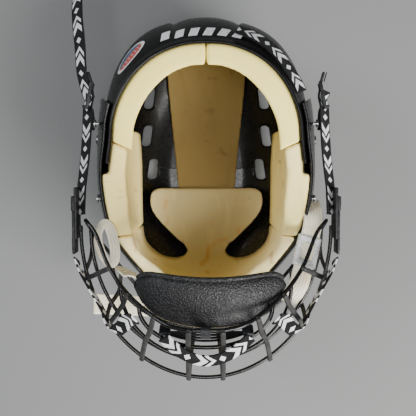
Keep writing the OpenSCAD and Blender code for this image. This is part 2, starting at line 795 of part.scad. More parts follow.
front_shell();
front_liner();
side_pad_left();
side_pad_right();
hinge_clip_left();
hinge_clip_right();
clip_screws();
size_screws();
size_nuts();
buckle_left();
buckle_right();
buckle_rivets();
buckle_loops();
side_strap_left();
side_strap_right();
strap_tail_left();
strap_tail_right();
ear_strap_left();
ear_strap_right();
ear_tail_left();
ear_tail_right();
ear_slider();
ear_rivets();
rear_shell();
rear_band_left();
rear_band_right();
rear_crown_pad();
edge_wire();
cross_wire_1();
cross_wire_2();
cross_wire_3();
cross_wire_4();
cross_wire_5();
upright_1();
upright_2();
upright_3();
upright_4();
upright_5();
upright_6();
upright_7();
upright_8();
side_clip_left();
side_clip_right();
cage_strap_left();
cage_strap_right();
chin_cup_base();
chin_cup_pad();
chin_clip();
chin_tabs();
chin_strap();
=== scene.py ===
"""Looks of an upturned ice hockey helmet with a wire face cage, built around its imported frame."""
import math
import random

import bmesh
import bpy
import numpy as np
from mathutils import Matrix, Vector
from mathutils.bvhtree import BVHTree


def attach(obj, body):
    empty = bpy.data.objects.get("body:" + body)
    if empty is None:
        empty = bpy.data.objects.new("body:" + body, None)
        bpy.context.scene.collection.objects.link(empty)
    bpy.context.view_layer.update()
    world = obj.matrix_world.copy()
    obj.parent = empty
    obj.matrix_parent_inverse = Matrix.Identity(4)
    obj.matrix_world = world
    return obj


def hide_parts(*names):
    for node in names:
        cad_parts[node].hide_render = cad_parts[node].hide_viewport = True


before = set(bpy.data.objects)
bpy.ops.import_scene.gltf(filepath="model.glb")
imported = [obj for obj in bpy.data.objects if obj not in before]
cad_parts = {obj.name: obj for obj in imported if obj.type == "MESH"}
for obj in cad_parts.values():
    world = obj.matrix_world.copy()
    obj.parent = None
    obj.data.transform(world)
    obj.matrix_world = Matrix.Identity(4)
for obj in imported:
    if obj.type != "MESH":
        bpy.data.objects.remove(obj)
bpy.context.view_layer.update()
MM = 0.001
SCENE = bpy.context.scene

# ---- Sizes in millimetres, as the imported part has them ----
HALF_WIDTH, FRONT_REACH, REAR_REACH = 110, 149, 152.5
WIDEST_Z, BROW_WIDEST_Z = 112, 88
BROW_RIM_Z, EAR_RIM_Z, REAR_RIM_Z = 109, 167.5, 177.5
SHELL_WALL, SHELL_GAP, FOAM_GAP = 3, 2.5, 0.8
FRONT_FOAM, SIDE_FOAM, REAR_FOAM, CROWN_FOAM = 15, 15, 19, 5
HEAD_Y, CROWN_LEAN, CROWN_FLAT = 9, 11, 2.5
FRONT_POWER, REAR_POWER, RIM_ROUNDING, DOME_POWER = 2.05, 2.75, 0.3, 3
BULGE_HALF, BULGE_RISE, LOBE_STEP = 37, 2.5, 3.5
REAR_OFF = -(SHELL_WALL + SHELL_GAP)
REAR_IN = REAR_OFF - SHELL_WALL
FOAM_OFF = REAR_IN - 2.4
WIRE_R = 1.8
WEBBING_W, WEBBING_T = 18, 1.5
ELASTIC_W, ELASTIC_T = 18, 1.8
SLIDER_L = 30
CAGE_HUB = (0, -50, 150)
SIDES = ((-1, "left"), (1, "right"))
# Reach of the cutters, past every side of the part
WIDE, FAR, UNDER = 200, 400, -5
STRAP_HUB = (0, 20, 70)
HINGE_Y, HINGE_Z = -147, 103
CHIN_Y, CHIN_Z = -121.5, 260


# ---- Camera, floor and lights ----
def make_camera():
    tilt = math.radians(4)
    data = bpy.data.cameras.new("camera")
    data.lens = 51.9
    data.sensor_width = 36
    camera = bpy.data.objects.new("camera", data)
    SCENE.collection.objects.link(camera)
    right = Vector((1, 0, 0))
    up = Vector((0, math.cos(tilt), -math.sin(tilt)))
    back = right.cross(up)
    turn = Matrix((right, up, back)).transposed().to_4x4()
    camera.matrix_world = Matrix.Translation((0.0019, 0.0096, 0.7306)) @ turn
    SCENE.camera = camera


def make_light(name, spot, aim, size, power, colour):
    data = bpy.data.lights.new(name, "AREA")
    data.shape = "RECTANGLE"
    data.size, data.size_y = size
    data.energy = power
    data.color = colour
    light = bpy.data.objects.new(name, data)
    SCENE.collection.objects.link(light)
    light.location = spot
    light.rotation_euler = (Vector(aim) - Vector(spot)).to_track_quat("-Z", "Y").to_euler()


def make_stage():
    mesh = bpy.data.meshes.new("floor")
    half = 4
    mesh.from_pydata([(-half, -half, 0), (half, -half, 0), (half, half, 0), (-half, half, 0)], [],
                     [(0, 1, 2, 3)])
    floor = bpy.data.objects.new("floor", mesh)
    SCENE.collection.objects.link(floor)
    paint = Paint("floor_paper", roughness=0.85)
    grain = paint.noise(900, 3)
    paint.colour(paint.ramp(grain, [(0.3, (0.158, 0.163, 0.163)), (0.7, (0.192, 0.197, 0.197))]))
    floor.data.materials.append(paint.material)
    world = bpy.data.worlds.new("world")
    world.use_nodes = True
    world.node_tree.nodes["Background"].inputs["Color"].default_value = (0.78, 0.80, 0.84, 1)
    world.node_tree.nodes["Background"].inputs["Strength"].default_value = 0.22
    SCENE.world = world
    make_light("key_softbox", (1.0, -1.0, 1.2), (0, 0, 0.1), (0.95, 0.95), 78, (1, 0.985, 0.955))
    make_light("left_fill", (-1.3, 0.6, 1.1), (0, 0, 0.1), (0.7, 0.7), 18, (0.95, 0.97, 1))
    make_light("overhead_fill", (0.0, -0.2, 1.8), (0, 0, 0.1), (0.5, 0.5), 14, (1, 0.99, 0.97))


# ---- Materials ----
class Paint:
    """One procedural material, built by short calls on its node tree."""

    def __init__(self, name, **inputs):
        self.material = bpy.data.materials.new(name)
        self.material.use_nodes = True
        self.tree = self.material.node_tree
        self.shader = self.tree.nodes["Principled BSDF"]
        self.where = self.tree.nodes.new("ShaderNodeTexCoord").outputs["Object"]
        for key, value in inputs.items():
            self.shader.inputs[key.replace("_", " ").title().replace("Ior", "IOR")].default_value = value

    def node(self, kind, inputs=(), **settings):
        node = self.tree.nodes.new("ShaderNode" + kind)
        for key, value in settings.items():
            setattr(node, key, value)
        for key, value in dict(inputs).items():
            if isinstance(value, bpy.types.NodeSocket):
                self.tree.links.new(value, node.inputs[key])
            elif value is not None:
                node.inputs[key].default_value = value
        return node

    def noise(self, scale, detail=2, stretch=None, distortion=0, where=None):
        where = where or self.where
        if stretch:
            where = self.node("Mapping", {"Vector": where, "Scale": stretch}).outputs[0]
        return self.node("TexNoise", {"Vector": where, "Scale": scale, "Detail": detail,
                                      "Distortion": distortion}).outputs["Fac"]

    def cells(self, scale, feature="F1", where=None):
        return self.node("TexVoronoi", {"Vector": where or self.where, "Scale": scale},
                         feature=feature).outputs["Distance"]

    def attribute(self, name):
        return self.node("Attribute", attribute_name=name).outputs["Fac"]

    def math(self, operation, a, b=0, c=0):
        return self.node("Math", {0: a, 1: b, 2: c}, operation=operation).outputs[0]

    def times(self, a, b):
        return self.math("MULTIPLY", a, b)

    def ramp(self, value, stops):
        node = self.node("ValToRGB", {"Fac": value})
        ends = node.color_ramp.elements
        while len(ends) < len(stops):
            ends.new(0.5)
        for end, (place, colour) in zip(ends, stops):
            end.position = place
            shade = colour if isinstance(colour, tuple) else (colour,) * 3
            end.color = (*shade, 1)
        return node.outputs["Color"]

    def mix(self, factor, a, b):
        a, b = [(*v, 1) if isinstance(v, tuple) else v for v in (a, b)]
        return self.node("Mix", {0: factor, 6: a, 7: b}, data_type="RGBA").outputs[2]

    def range(self, value, low, high, to_low=0, to_high=1):
        return self.node("MapRange", {"Value": value, "From Min": low, "From Max": high,
                                      "To Min": to_low, "To Max": to_high}).outputs[0]

    def wave(self, value, pitch):
        """A sine between 0 and 1 with that pitch along a value in metres."""
        turn = self.math("SINE", self.math("MULTIPLY", value, math.tau / pitch))
        return self.math("MULTIPLY_ADD", turn, 0.5, 0.5)

    def colour(self, socket):
        self.tree.links.new(socket, self.shader.inputs["Base Color"])

    def rough(self, socket):
        self.tree.links.new(socket, self.shader.inputs["Roughness"])

    def rough_noise(self, scale, detail, low, high):
        self.rough(self.range(self.noise(scale, detail), 0.3, 0.7, low, high))

    def bump(self, height, distance, strength=1.0, under=None):
        node = self.node("Bump", {"Height": height, "Distance": distance, "Strength": strength,
                                  "Normal": under})
        self.tree.links.new(node.outputs[0], self.shader.inputs["Normal"])
        return node.outputs[0]


def shell_plastic(name, gloss):
    """Black moulded plastic with fine scratches, scuffs and a little dust."""
    paint = Paint(name, specular_ior_level=0.2 * gloss, coat_weight=0.06 * gloss, coat_roughness=0.08)
    dust = paint.noise(22, 4, distortion=0.6)
    scratch = paint.noise(160, 2, stretch=(1, 14, 3))
    line = paint.range(scratch, 0.66, 0.72)
    base = paint.ramp(dust, [(0.4, (0.0035, 0.0035, 0.0038)), (0.75, (0.0085, 0.0083, 0.008))])
    paint.colour(paint.mix(paint.times(line, 0.35), base, (0.045, 0.045, 0.047)))
    blotch = paint.noise(260, 3)
    rough = paint.range(blotch, 0.3, 0.7, 0.30 - 0.1 * gloss, 0.46 - 0.14 * gloss)
    paint.rough(paint.math("MULTIPLY_ADD", line, 0.15, rough))
    peel = paint.bump(paint.noise(700, 2), 0.0001, 0.35)
    paint.bump(paint.noise(90, 1), 0.0006, 0.25, under=peel)
    return paint.material


def foam(name, light, dark, stain, amount, deep_shade_and_soiling):
    """Skinned foam with a fine grain, soft blotches, brown stains and small specks.

    It darkens and browns toward the crown, deep inside the helmet: partly painted shade, partly browning from
    wear.
    """
    paint = Paint(name, sheen_weight=0.03, sheen_roughness=0.5, specular_ior_level=0.12,
                  subsurface_weight=0.06, subsurface_scale=0.004)
    blotch = paint.noise(11, 4, distortion=0.8)
    base = paint.mix(paint.range(blotch, 0.35, 0.72), light, dark)
    height = paint.node("SeparateXYZ", {"Vector": paint.where}).outputs["Z"]
    # Painted shade deep inside the helmet, mixed with browning from wear: darker toward the crown.
    base = paint.mix(paint.range(height, 0.012, 0.06, 1, 0), base, deep_shade_and_soiling)
    marks = paint.range(paint.noise(34, 6, distortion=1.4), 0.62, 0.76)
    base = paint.mix(paint.times(marks, amount), base, stain)
    rub = paint.range(paint.noise(60, 5, stretch=(1, 0.25, 0.6), distortion=0.5), 0.58, 0.7)
    base = paint.mix(paint.times(rub, 0.3 * amount), base, tuple(0.72 * c for c in dark))
    speck = paint.range(paint.cells(62), 0.03, 0.05, 1, 0)
    rare = paint.range(paint.noise(15, 0), 0.58, 0.62)
    paint.colour(paint.mix(paint.times(speck, rare), base, (0.1, 0.06, 0.03)))
    paint.rough_noise(180, 3, 0.52, 0.72)
    grain = paint.bump(paint.noise(1500, 2), 0.00012, 0.4)
    paint.bump(paint.noise(70, 3), 0.0012, 0.22, under=grain)
    return paint.material


def leather(name):
    """Black pebbled leather, greyer where it is rubbed."""
    paint = Paint(name, specular_ior_level=0.42, coat_weight=0.05, coat_roughness=0.35)
    warp = paint.node("TexNoise", {"Vector": paint.where, "Scale": 500.0, "Detail": 2.0})
    place = paint.node("Mix", {0: 0.0009, 4: paint.where, 5: warp.outputs["Color"]},
                       data_type="VECTOR").outputs[1]
    pebble = paint.cells(640, "SMOOTH_F1", where=place)
    crease = paint.range(pebble, 0.05, 0.55, 1, 0)
    rubbed = paint.range(paint.noise(45, 3), 0.35, 0.7)
    base = paint.mix(rubbed, (0.007, 0.007, 0.008), (0.019, 0.0195, 0.0215))
    # Darker in the creases between the pebbles: painted shade.
    paint.colour(paint.mix(crease, (0.006, 0.006, 0.007), base))
    paint.rough(paint.range(crease, 0, 1, 0.62, 0.37))
    paint.bump(crease, 0.0008, 0.9)
    return paint.material


def webbing(name, motif):
    """Black woven webbing; motif adds a repeated white chevron and lozenge in the weave."""
    paint = Paint(name, sheen_weight=0.03, sheen_roughness=0.4, specular_ior_level=0.12)
    along, across = paint.attribute("along"), paint.attribute("across")
    rib = paint.wave(paint.math("ADD", along, paint.times(paint.math("ABSOLUTE", across), 0.7)),
                     0.0016)
    pick = paint.wave(across, 0.0011)
    weave = paint.times(paint.math("ADD", rib, 0.35), paint.math("ADD", pick, 0.45))
    # Darker in the low gaps of the weave: painted shade between the threads.
    black = paint.ramp(weave, [(0.15, (0.0015, 0.0015, 0.002)), (0.9, (0.009, 0.009, 0.0105))])
    if motif:
        unit = 0.030
        place = paint.math("FRACT", paint.math("DIVIDE", along, unit))
        side = paint.math("ABSOLUTE", paint.math("DIVIDE", across, WEBBING_W * MM))
        lean = paint.math("ADD", place, paint.times(side, 0.55))
        chevron = paint.math("COMPARE", lean, 0.36, 0.095)
        second = paint.math("COMPARE", lean, 0.62, 0.06)
        diamond = paint.math("LESS_THAN", paint.math("ADD", paint.math(
            "ABSOLUTE", paint.math("SUBTRACT", place, 0.86)), paint.times(side, 0.42)), 0.1)
        shape = paint.math("MAXIMUM", paint.math("MAXIMUM", chevron, second), diamond)
        inside = paint.math("LESS_THAN", side, 0.40)
        thread = paint.range(weave, 0.12, 0.3)
        white = paint.times(paint.times(shape, inside), thread)
        black = paint.mix(white, black, (0.72, 0.73, 0.75))
    paint.colour(black)
    paint.rough(paint.range(weave, 0, 1, 0.8, 0.55))
    paint.bump(weave, 0.0004, 0.7)
    return paint.material


def elastic(name):
    """Cream braided elastic: cords along its length, tied by a fine cross thread."""
    paint = Paint(name, sheen_weight=0.25, sheen_roughness=0.5, specular_ior_level=0.3)
    along, across = paint.attribute("along"), paint.attribute("across")
    cord_height = paint.wave(across, 0.0026)
    thread = paint.wave(paint.math("ADD", along, paint.times(across, 0.5)), 0.0013)
    weave = paint.times(paint.math("ADD", cord_height, 0.25), paint.math("ADD", thread, 0.6))
    soil = paint.range(paint.noise(48, 4, distortion=0.7), 0.45, 0.72)
    base = paint.mix(soil, (0.95, 0.90, 0.72), (0.80, 0.69, 0.46))
    # Darker in the low gaps of the weave: painted shade over the soiled base colour.
    deep_shade_and_soiling = paint.mix(paint.range(weave, 0.05, 0.6), (0.66, 0.58, 0.42), base)
    paint.colour(deep_shade_and_soiling)
    paint.rough(paint.range(weave, 0, 1, 0.85, 0.62))
    paint.bump(weave, 0.0005, 0.8)
    return paint.material


def coating(name, low, high, rough, worn):
    """Dipped coating on wire: slightly lumpy, with scuffs that show a lighter grey."""
    paint = Paint(name, specular_ior_level=0.3, coat_weight=0.1 if rough < 0.4 else 0.0,
                  coat_roughness=0.1)
    scuff = paint.range(paint.noise(320, 4, distortion=0.5), 0.66, 0.78)
    patch = paint.range(paint.noise(26, 2), 0.5, 0.65)
    wear = paint.times(paint.times(scuff, patch), worn)
    base = paint.ramp(paint.noise(70, 3), [(0.35, low), (0.7, high)])
    paint.colour(paint.mix(wear, base, (0.16, 0.16, 0.165)))
    paint.rough_noise(420, 2, rough, rough + 0.14)
    fine = paint.bump(paint.noise(1400, 2), 0.00004, 0.3)
    paint.bump(paint.noise(90, 1), 0.0003, 0.3, under=fine)
    return paint.material


def black_plastic(name):
    paint = Paint(name, specular_ior_level=0.25)
    worn = paint.range(paint.noise(240, 4, distortion=0.4), 0.58, 0.7, 0, 0.5)
    base = paint.ramp(paint.noise(60, 3), [(0.35, (0.006, 0.0063, 0.007)), (0.7, (0.014, 0.0146, 0.0165))])
    paint.colour(paint.mix(worn, base, (0.06, 0.064, 0.07)))
    paint.rough_noise(300, 2, 0.4, 0.58)
    paint.bump(paint.noise(1800, 1), 0.0001, 0.5)
    return paint.material


def clear_plastic(name):
    """Milky clear plastic, scuffed on its faces."""
    paint = Paint(name, transmission_weight=0.42, ior=1.49, specular_ior_level=0.5,
                  subsurface_weight=0.12, subsurface_scale=0.003)
    cloud = paint.noise(140, 3)
    paint.colour(paint.ramp(cloud, [(0.3, (0.80, 0.81, 0.79)), (0.75, (0.93, 0.94, 0.93))]))
    paint.rough(paint.range(paint.noise(420, 4), 0.35, 0.7, 0.18, 0.5))
    paint.bump(paint.noise(300, 2), 0.0003, 0.3)
    return paint.material


def steel(name, low, high, rough):
    paint = Paint(name, metallic=1.0)
    brushed = paint.noise(700, 3, stretch=(1, 9, 1))
    paint.colour(paint.ramp(brushed, [(0.3, low), (0.7, high)]))
    paint.rough_noise(350, 3, rough, rough + 0.2)
    paint.bump(brushed, 0.0001, 0.35)
    return paint.material


def badge_print(name, top, bottom):
    """A plain oval label: pale border, two colour halves and thin pale stripes."""
    paint = Paint(name, coat_weight=0.5, coat_roughness=0.15)
    u, v = paint.attribute("badge_u"), paint.attribute("badge_v")
    radius = paint.math("SQRT", paint.math("ADD", paint.math("POWER", u, 2), paint.math("POWER", v, 2)))
    border = paint.math("GREATER_THAN", radius, 0.84)
    half = paint.math("GREATER_THAN", v, -0.12)
    stripe = paint.math("COMPARE", paint.math("FRACT", paint.times(u, 4.5)), 0.5, 0.09)
    middle = paint.times(stripe, paint.math("COMPARE", v, 0.25, 0.3))
    colour = paint.mix(half, bottom, top)
    colour = paint.mix(paint.times(middle, 0.55), colour, (0.62, 0.64, 0.66))
    colour = paint.mix(border, colour, (0.78, 0.78, 0.76))
    worn = paint.range(paint.noise(420, 3), 0.58, 0.7, 0, 0.35)
    paint.colour(paint.mix(worn, colour, (0.25, 0.25, 0.26)))
    paint.rough_noise(300, 2, 0.3, 0.5)
    paint.bump(paint.noise(600, 2), 0.00008, 0.4)
    return paint.material


def plain_print(name):
    """White ink on the rear shell, worn at its edges."""
    paint = Paint(name)
    worn = paint.range(paint.noise(520, 4), 0.55, 0.68, 0, 0.8)
    paint.colour(paint.mix(worn, (0.74, 0.75, 0.77), (0.28, 0.28, 0.29)))
    paint.rough_noise(300, 2, 0.4, 0.6)
    paint.bump(paint.noise(900, 1), 0.00005, 0.4)
    return paint.material


def thread_look(name):
    """Waxed ochre sewing thread."""
    paint = Paint(name, sheen_weight=0.2)
    paint.colour(paint.ramp(paint.noise(500, 2), [(0.3, (0.10, 0.085, 0.05)), (0.75, (0.34, 0.29, 0.17))]))
    paint.rough_noise(900, 2, 0.55, 0.8)
    paint.bump(paint.wave(paint.attribute("along"), 0.0004), 0.0001, 0.6)
    return paint.material


LOOKS = {
    "front_shell_plastic": shell_plastic("front_shell_plastic", 1.0),
    "rear_shell_plastic": shell_plastic("rear_shell_plastic", 0.6),
    # The last colour of each foam is painted shade deep inside the helmet, mixed with browning from wear.
    "liner_foam": foam("liner_foam", (0.97, 0.83, 0.44), (0.93, 0.755, 0.35), (0.47, 0.25, 0.06), 0.9,
                       (0.33, 0.262, 0.13)),
    "pad_foam": foam("pad_foam", (0.98, 0.82, 0.35), (0.93, 0.73, 0.26), (0.47, 0.25, 0.06), 0.9,
                     (0.40, 0.305, 0.13)),
    "band_foam": foam("band_foam", (0.98, 0.84, 0.27), (0.94, 0.77, 0.22), (0.55, 0.38, 0.16), 0.2,
                      (0.70, 0.55, 0.28)),
    "crown_foam": foam("crown_foam", (0.235, 0.169, 0.056), (0.188, 0.128, 0.038), (0.10, 0.06, 0.016), 0.75,
                       (0.205, 0.142, 0.046)),
    "cup_leather": leather("cup_leather"),
    "webbing": webbing("webbing", True),
    "webbing_plain": webbing("webbing_plain", False),
    "elastic": elastic("elastic"),
    "wire_paint": coating("wire_paint", (0.003, 0.003, 0.0033), (0.007, 0.007, 0.0075), 0.2, 0.3),
    "upright_paint": coating("upright_paint", (0.016, 0.016, 0.0165), (0.036, 0.0355, 0.0345), 0.5, 0.6),
    "black_plastic": black_plastic("black_plastic"),
    "clear_plastic": clear_plastic("clear_plastic"),
    "dark_steel": steel("dark_steel", (0.09, 0.09, 0.095), (0.17, 0.17, 0.18), 0.35),
    "bright_steel": steel("bright_steel", (0.42, 0.42, 0.43), (0.7, 0.7, 0.7), 0.25),
    "cup_thread": thread_look("cup_thread"),
    "badge_left": badge_print("badge_left", (0.42, 0.05, 0.035), (0.03, 0.095, 0.19)),
    "badge_right": badge_print("badge_right", (0.74, 0.75, 0.78), (0.42, 0.36, 0.42)),
    "plain_print": plain_print("plain_print"),
}


# ---- Mesh helpers; their points are in millimetres ----
def mesh_object(name, points, faces, smooth=True, **values):
    """A new object; values are per-point numbers kept on the mesh for its material."""
    mesh = bpy.data.meshes.new(name)
    mesh.from_pydata((np.asarray(points, float) * MM).tolist(), [], [tuple(map(int, f)) for f in faces])
    mesh.validate()
    mesh.shade_smooth() if smooth else mesh.shade_flat()
    for key, numbers in values.items():
        layer = mesh.attributes.new(key, "FLOAT", "POINT")
        layer.data.foreach_set("value", np.asarray(numbers, float).ravel())
    thing = bpy.data.objects.new(name, mesh)
    SCENE.collection.objects.link(thing)
    return thing


def finish_piece(thing, body, look, *nodes, slot=None):
    """Gives a piece its material and its body, and hides the CAD nodes it stands for."""
    thing.data.materials.clear()
    thing.data.materials.append(LOOKS[look])
    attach(thing, body)
    if nodes:
        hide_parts(*nodes)
    return thing


def bake_modifiers(thing):
    graph = bpy.context.evaluated_depsgraph_get()
    mesh = bpy.data.meshes.new_from_object(thing.evaluated_get(graph))
    old = thing.data
    thing.modifiers.clear()
    thing.data = mesh
    bpy.data.meshes.remove(old)
    return thing


def modify(thing, kind, **settings):
    modifier = thing.modifiers.new(kind.lower(), kind)
    for key, value in settings.items():
        setattr(modifier, key, value)
    return bake_modifiers(thing)


def carve(thing, *cutters):
    """Cuts closed objects out of a closed object and throws the cutters away."""
    for cutter in cutters:
        modify(thing, "BOOLEAN", object=cutter, operation="DIFFERENCE", solver="MANIFOLD")
        bpy.data.objects.remove(cutter)
    return thing


def join(name, things):
    """One object from several, keeping their meshes and point values."""
    bpy.ops.object.select_all(action="DESELECT")
    for thing in things:
        thing.select_set(True)
    bpy.context.view_layer.objects.active = things[0]
    bpy.ops.object.join()
    things[0].name = name
    return things[0]


def smooth_path(spots, steps, closed=False):
    """Points along a Catmull-Rom curve through the spots."""
    p = np.asarray(spots, float)
    if closed:
        p = np.vstack([p[-1], p, p[0], p[1]])
    else:
        p = np.vstack([2 * p[0] - p[1], p, 2 * p[-1] - p[-2]])
    t = np.linspace(0, 1, steps, endpoint=False)[:, None]
    parts = []
    for a, b, c, d in zip(p, p[1:], p[2:], p[3:]):
        parts.append(0.5 * (2 * b + (c - a) * t + (2 * a - 5 * b + 4 * c - d) * t ** 2
                            + (3 * b - a - 3 * c + d) * t ** 3))
    return np.vstack(parts if closed else parts + [p[-2:-1]])


def ring(radius, count=16):
    turn = np.arange(count) * math.tau / count
    return np.stack([radius * np.cos(turn), radius * np.sin(turn)], 1)


def rounded_plate(width, thick, corner, flats=1):
    """Outline of a rounded rectangle; flats is how many pieces its long sides have."""
    spots = []
    for quarter in range(4):
        x = (width / 2 - corner) * (1 if quarter in (0, 3) else -1)
        y = (thick / 2 - corner) * (1 if quarter < 2 else -1)
        for step in range(4):
            turn = (quarter + step / 3) * math.pi / 2
            spots.append((x + corner * math.cos(turn), y + corner * math.sin(turn)))
        if quarter % 2 == 0:
            edge = width / 2 - corner
            for k in range(1, flats):
                place = edge * (1 - 2 * k / flats)
                spots.append((place, thick / 2) if quarter == 0 else (-place, -thick / 2))
    return np.array(spots)


def tube_faces(rings, sides, closed=False):
    """Faces between rings of points, and over both ends unless the tube closes on itself."""
    faces = []
    for i in range(rings if closed else rings - 1):
        a, b = i * sides, ((i + 1) % rings) * sides
        for j in range(sides):
            k = (j + 1) % sides
            faces.append((a + j, a + k, b + k, b + j))
    if not closed:
        faces.append(tuple(range(sides - 1, -1, -1)))
        faces.append(tuple((rings - 1) * sides + j for j in range(sides)))
    return faces


def sweep(name, path, section, hub, closed=False, dome=0.0, turn=0.0, widen=None):
    """A section swept along a path, its second axis turned away from the hub point.

    dome rounds the ends over that length, turn twists the section (degrees, or one per point),
    and widen scales it along the path.
    """
    path, section = np.asarray(path, float), np.asarray(section, float)
    count, sides = len(path), len(section)
    if closed:
        along = np.roll(path, -1, 0) - np.roll(path, 1, 0)
    else:
        along = np.gradient(path, axis=0)
    along /= np.linalg.norm(along, axis=1)[:, None]
    across = np.cross(along, path - np.asarray(hub, float))
    across /= np.linalg.norm(across, axis=1)[:, None]
    out = np.cross(across, along)
    turns = np.radians(np.broadcast_to(turn, count))[:, None]
    across, out = (across * np.cos(turns) + out * np.sin(turns), out * np.cos(turns) - across * np.sin(turns))
    scale = np.ones(count) if widen is None else np.asarray(widen, float)
    length = np.concatenate([[0], np.cumsum(np.linalg.norm(np.diff(path, axis=0), axis=1))])
    rows = [(path[i], across[i], out[i], along[i], 0.0, scale[i], length[i]) for i in range(count)]
    if dome and not closed:
        for k in (0.35, 0.65, 0.88, 0.98):
            shrink = math.sqrt(1 - k * k)
            rows.insert(0, (path[0], across[0], out[0], along[0], -dome * k, scale[0] * shrink, length[0]))
            rows.append((path[-1], across[-1], out[-1], along[-1], dome * k, scale[-1] * shrink, length[-1]))
    points, u, v = [], [], []
    for place, side, up, ahead, shift, size, far in rows:
        points.append(place + ahead * shift + section[:, :1] * size * side + section[:, 1:] * size * up)
        u.append(np.full(sides, far))
        v.append(section[:, 0])
    return mesh_object(name, np.vstack(points), tube_faces(len(rows), sides, closed),
                       along=np.concatenate(u) * MM, across=np.concatenate(v) * MM)


def prism(name, outline, low=UNDER, high=FAR):
    """A closed upright block with that outline seen from above."""
    count = len(outline)
    points = [(x, y, z) for z in (low, high) for x, y in outline]
    area = sum(a[0] * b[1] - b[0] * a[1] for a, b in zip(outline, [*outline[1:], outline[0]]))
    faces = [tuple(range(count))[::-1], tuple(range(count, 2 * count))]
    faces += [(i, (i + 1) % count, count + (i + 1) % count, count + i) for i in range(count)]
    if area < 0:
        faces = [f[::-1] for f in faces]
    return mesh_object(name, points, faces)


def block(name, low, high):
    """A plain cutter between two corners."""
    return prism(name, [(low[0], low[1]), (high[0], low[1]), (high[0], high[1]), (low[0], high[1])],
                 low[2], high[2])


def box_cut(low, high):
    return block("cut", low, high)


def flip(spots):
    return [(-s[0], *s[1:]) for s in spots]


# ---- Head form: the surface that the shells and the liner are offset from ----
def ease(t):
    t = np.clip(t, 0, 1)
    return t * t * (3 - 2 * t)


def facing(a):
    f = np.abs((a + 90) % 360)
    return np.minimum(f, 360 - f)


def level_z(a):
    return BROW_WIDEST_Z + (WIDEST_Z - BROW_WIDEST_Z) * ease((facing(a) - 20) / 60)


def rim_z(a):
    return (BROW_RIM_Z + (EAR_RIM_Z - BROW_RIM_Z) * ease((facing(a) - 30) / 30)
            + (REAR_RIM_Z - EAR_RIM_Z) * ease((facing(a) - 95) / 55))


def tuck(a):
    return (2 + 7 * ease(facing(a) / 70) + 4 * ease((facing(a) - 85) / 25)
            + 20 * ease((facing(a) - 112) / 55))


def lobe(a):
    x = REAR_REACH * np.cos(np.radians(a)) / BULGE_HALF
    rise = BULGE_RISE - (BULGE_RISE + LOBE_STEP) * x * x
    step = np.clip((1 - np.abs(x)) / 0.05, 0, 1)
    return np.where(np.sin(np.radians(a)) > 0, rise * step, 0)


def reach(a, d, t=0):
    c, s = np.abs(np.cos(np.radians(a))), np.abs(np.sin(np.radians(a)))
    front = np.sin(np.radians(a)) < 0
    rear_power = REAR_POWER - RIM_ROUNDING * t * t * ease((facing(a) - 85) / 30)
    power = np.where(front, FRONT_POWER, rear_power)
    along = np.where(front, FRONT_REACH, REAR_REACH)
    return ((c / (HALF_WIDTH + d)) ** power + (s / (along + d)) ** power) ** (-1 / power)


def dome_point(a, t, d, extra=0):
    sine, cosine = np.sin(t * math.pi / 2), np.cos(t * math.pi / 2)
    k = (sine ** DOME_POWER + cosine ** DOME_POWER) ** (-1 / DOME_POWER)
    r = (reach(a, d) + extra) * sine * k
    drop = cosine * k
    z = level_z(a) - (level_z(a) + d) * drop
    return np.stack([r * np.cos(np.radians(a)), HEAD_Y - CROWN_LEAN * drop + r * np.sin(np.radians(a)),
                     np.maximum(z, CROWN_FLAT - d) - CROWN_FLAT], -1)


def crown(d):
    """The one point at the bottom of the form offset by d."""
    return dome_point(np.zeros(1), np.zeros(1), d)


def band_point(a, t, d, extra=0):
    r = reach(a, d, t) + extra - tuck(a) * t * t
    z = level_z(a) + (rim_z(a) - level_z(a)) * t - CROWN_FLAT
    return np.stack([r * np.cos(np.radians(a)), HEAD_Y + r * np.sin(np.radians(a)), z], -1)


def surface_rows(d, lift, lobes, around, dome, band, drop):
    """Rings of the form offset by d, from the crown to drop millimetres under its rim."""
    a = np.arange(around) * 360 / around
    extra = lobe(a) if lobes else np.zeros(around)
    rows = [dome_point(a, np.full(around, i / dome), d, extra) for i in range(1, dome + 1)]
    top = 1 + (lift - drop) / (rim_z(a) - level_z(a))
    for i in range(1, band + 1):
        f = i / band
        rows.append(band_point(a, f * top, d, extra * (1 - f * f)))
    return rows


def ringed_solid(name, first, rows, last):
    """A closed solid: a first point, rings of points and a last point."""
    around = len(rows[0])
    end = 1 + len(rows) * around
    faces = []
    for j in range(around):
        k = (j + 1) % around
        faces.append((0, 1 + k, 1 + j))
        faces.append((end, end - around + j, end - around + k))
        for a in range(1, end - around, around):
            faces.append((a + j, a + k, a + around + k, a + around + j))
    return mesh_object(name, np.vstack([first, *rows, last]), faces)


def wall(name, outer, inner, lift=0, outer_lobes=False, inner_lobes=False, soft=None,
         around=240, dome=44, band=14):
    """A closed solid between two offsets of the head form, with a rounded rim.

    soft is the roundness of the rim's corners; without it the rim is a half round.
    """
    thick = outer - inner
    drop = thick / 2 if soft is None else soft
    power = 1 if soft is None else 0.4
    outside = surface_rows(outer, lift, outer_lobes, around, dome, band, drop)
    inside = surface_rows(inner, lift, inner_lobes, around, dome, band, drop)
    middle, half = (outside[-1] + inside[-1]) / 2, (outside[-1] - inside[-1]) / 2
    rim = []
    for k in range(1, 12):
        turn = math.pi * k / 12
        c, s = math.cos(turn), math.sin(turn)
        c, s = math.copysign(abs(c) ** power, c), s ** power
        rim.append(middle + half * c + np.array([0, 0, drop * s]))
    return ringed_solid(name, crown(outer), outside + rim + inside[::-1], crown(inner))


def solid_form(name, d, lift):
    """The whole form offset by d as one closed block, its rim raised by lift."""
    rows = surface_rows(d, lift, False, 160, 36, 12, 0)
    return ringed_solid(name, crown(d), rows, [[0, HEAD_Y, rows[-1][:, 2].min()]])


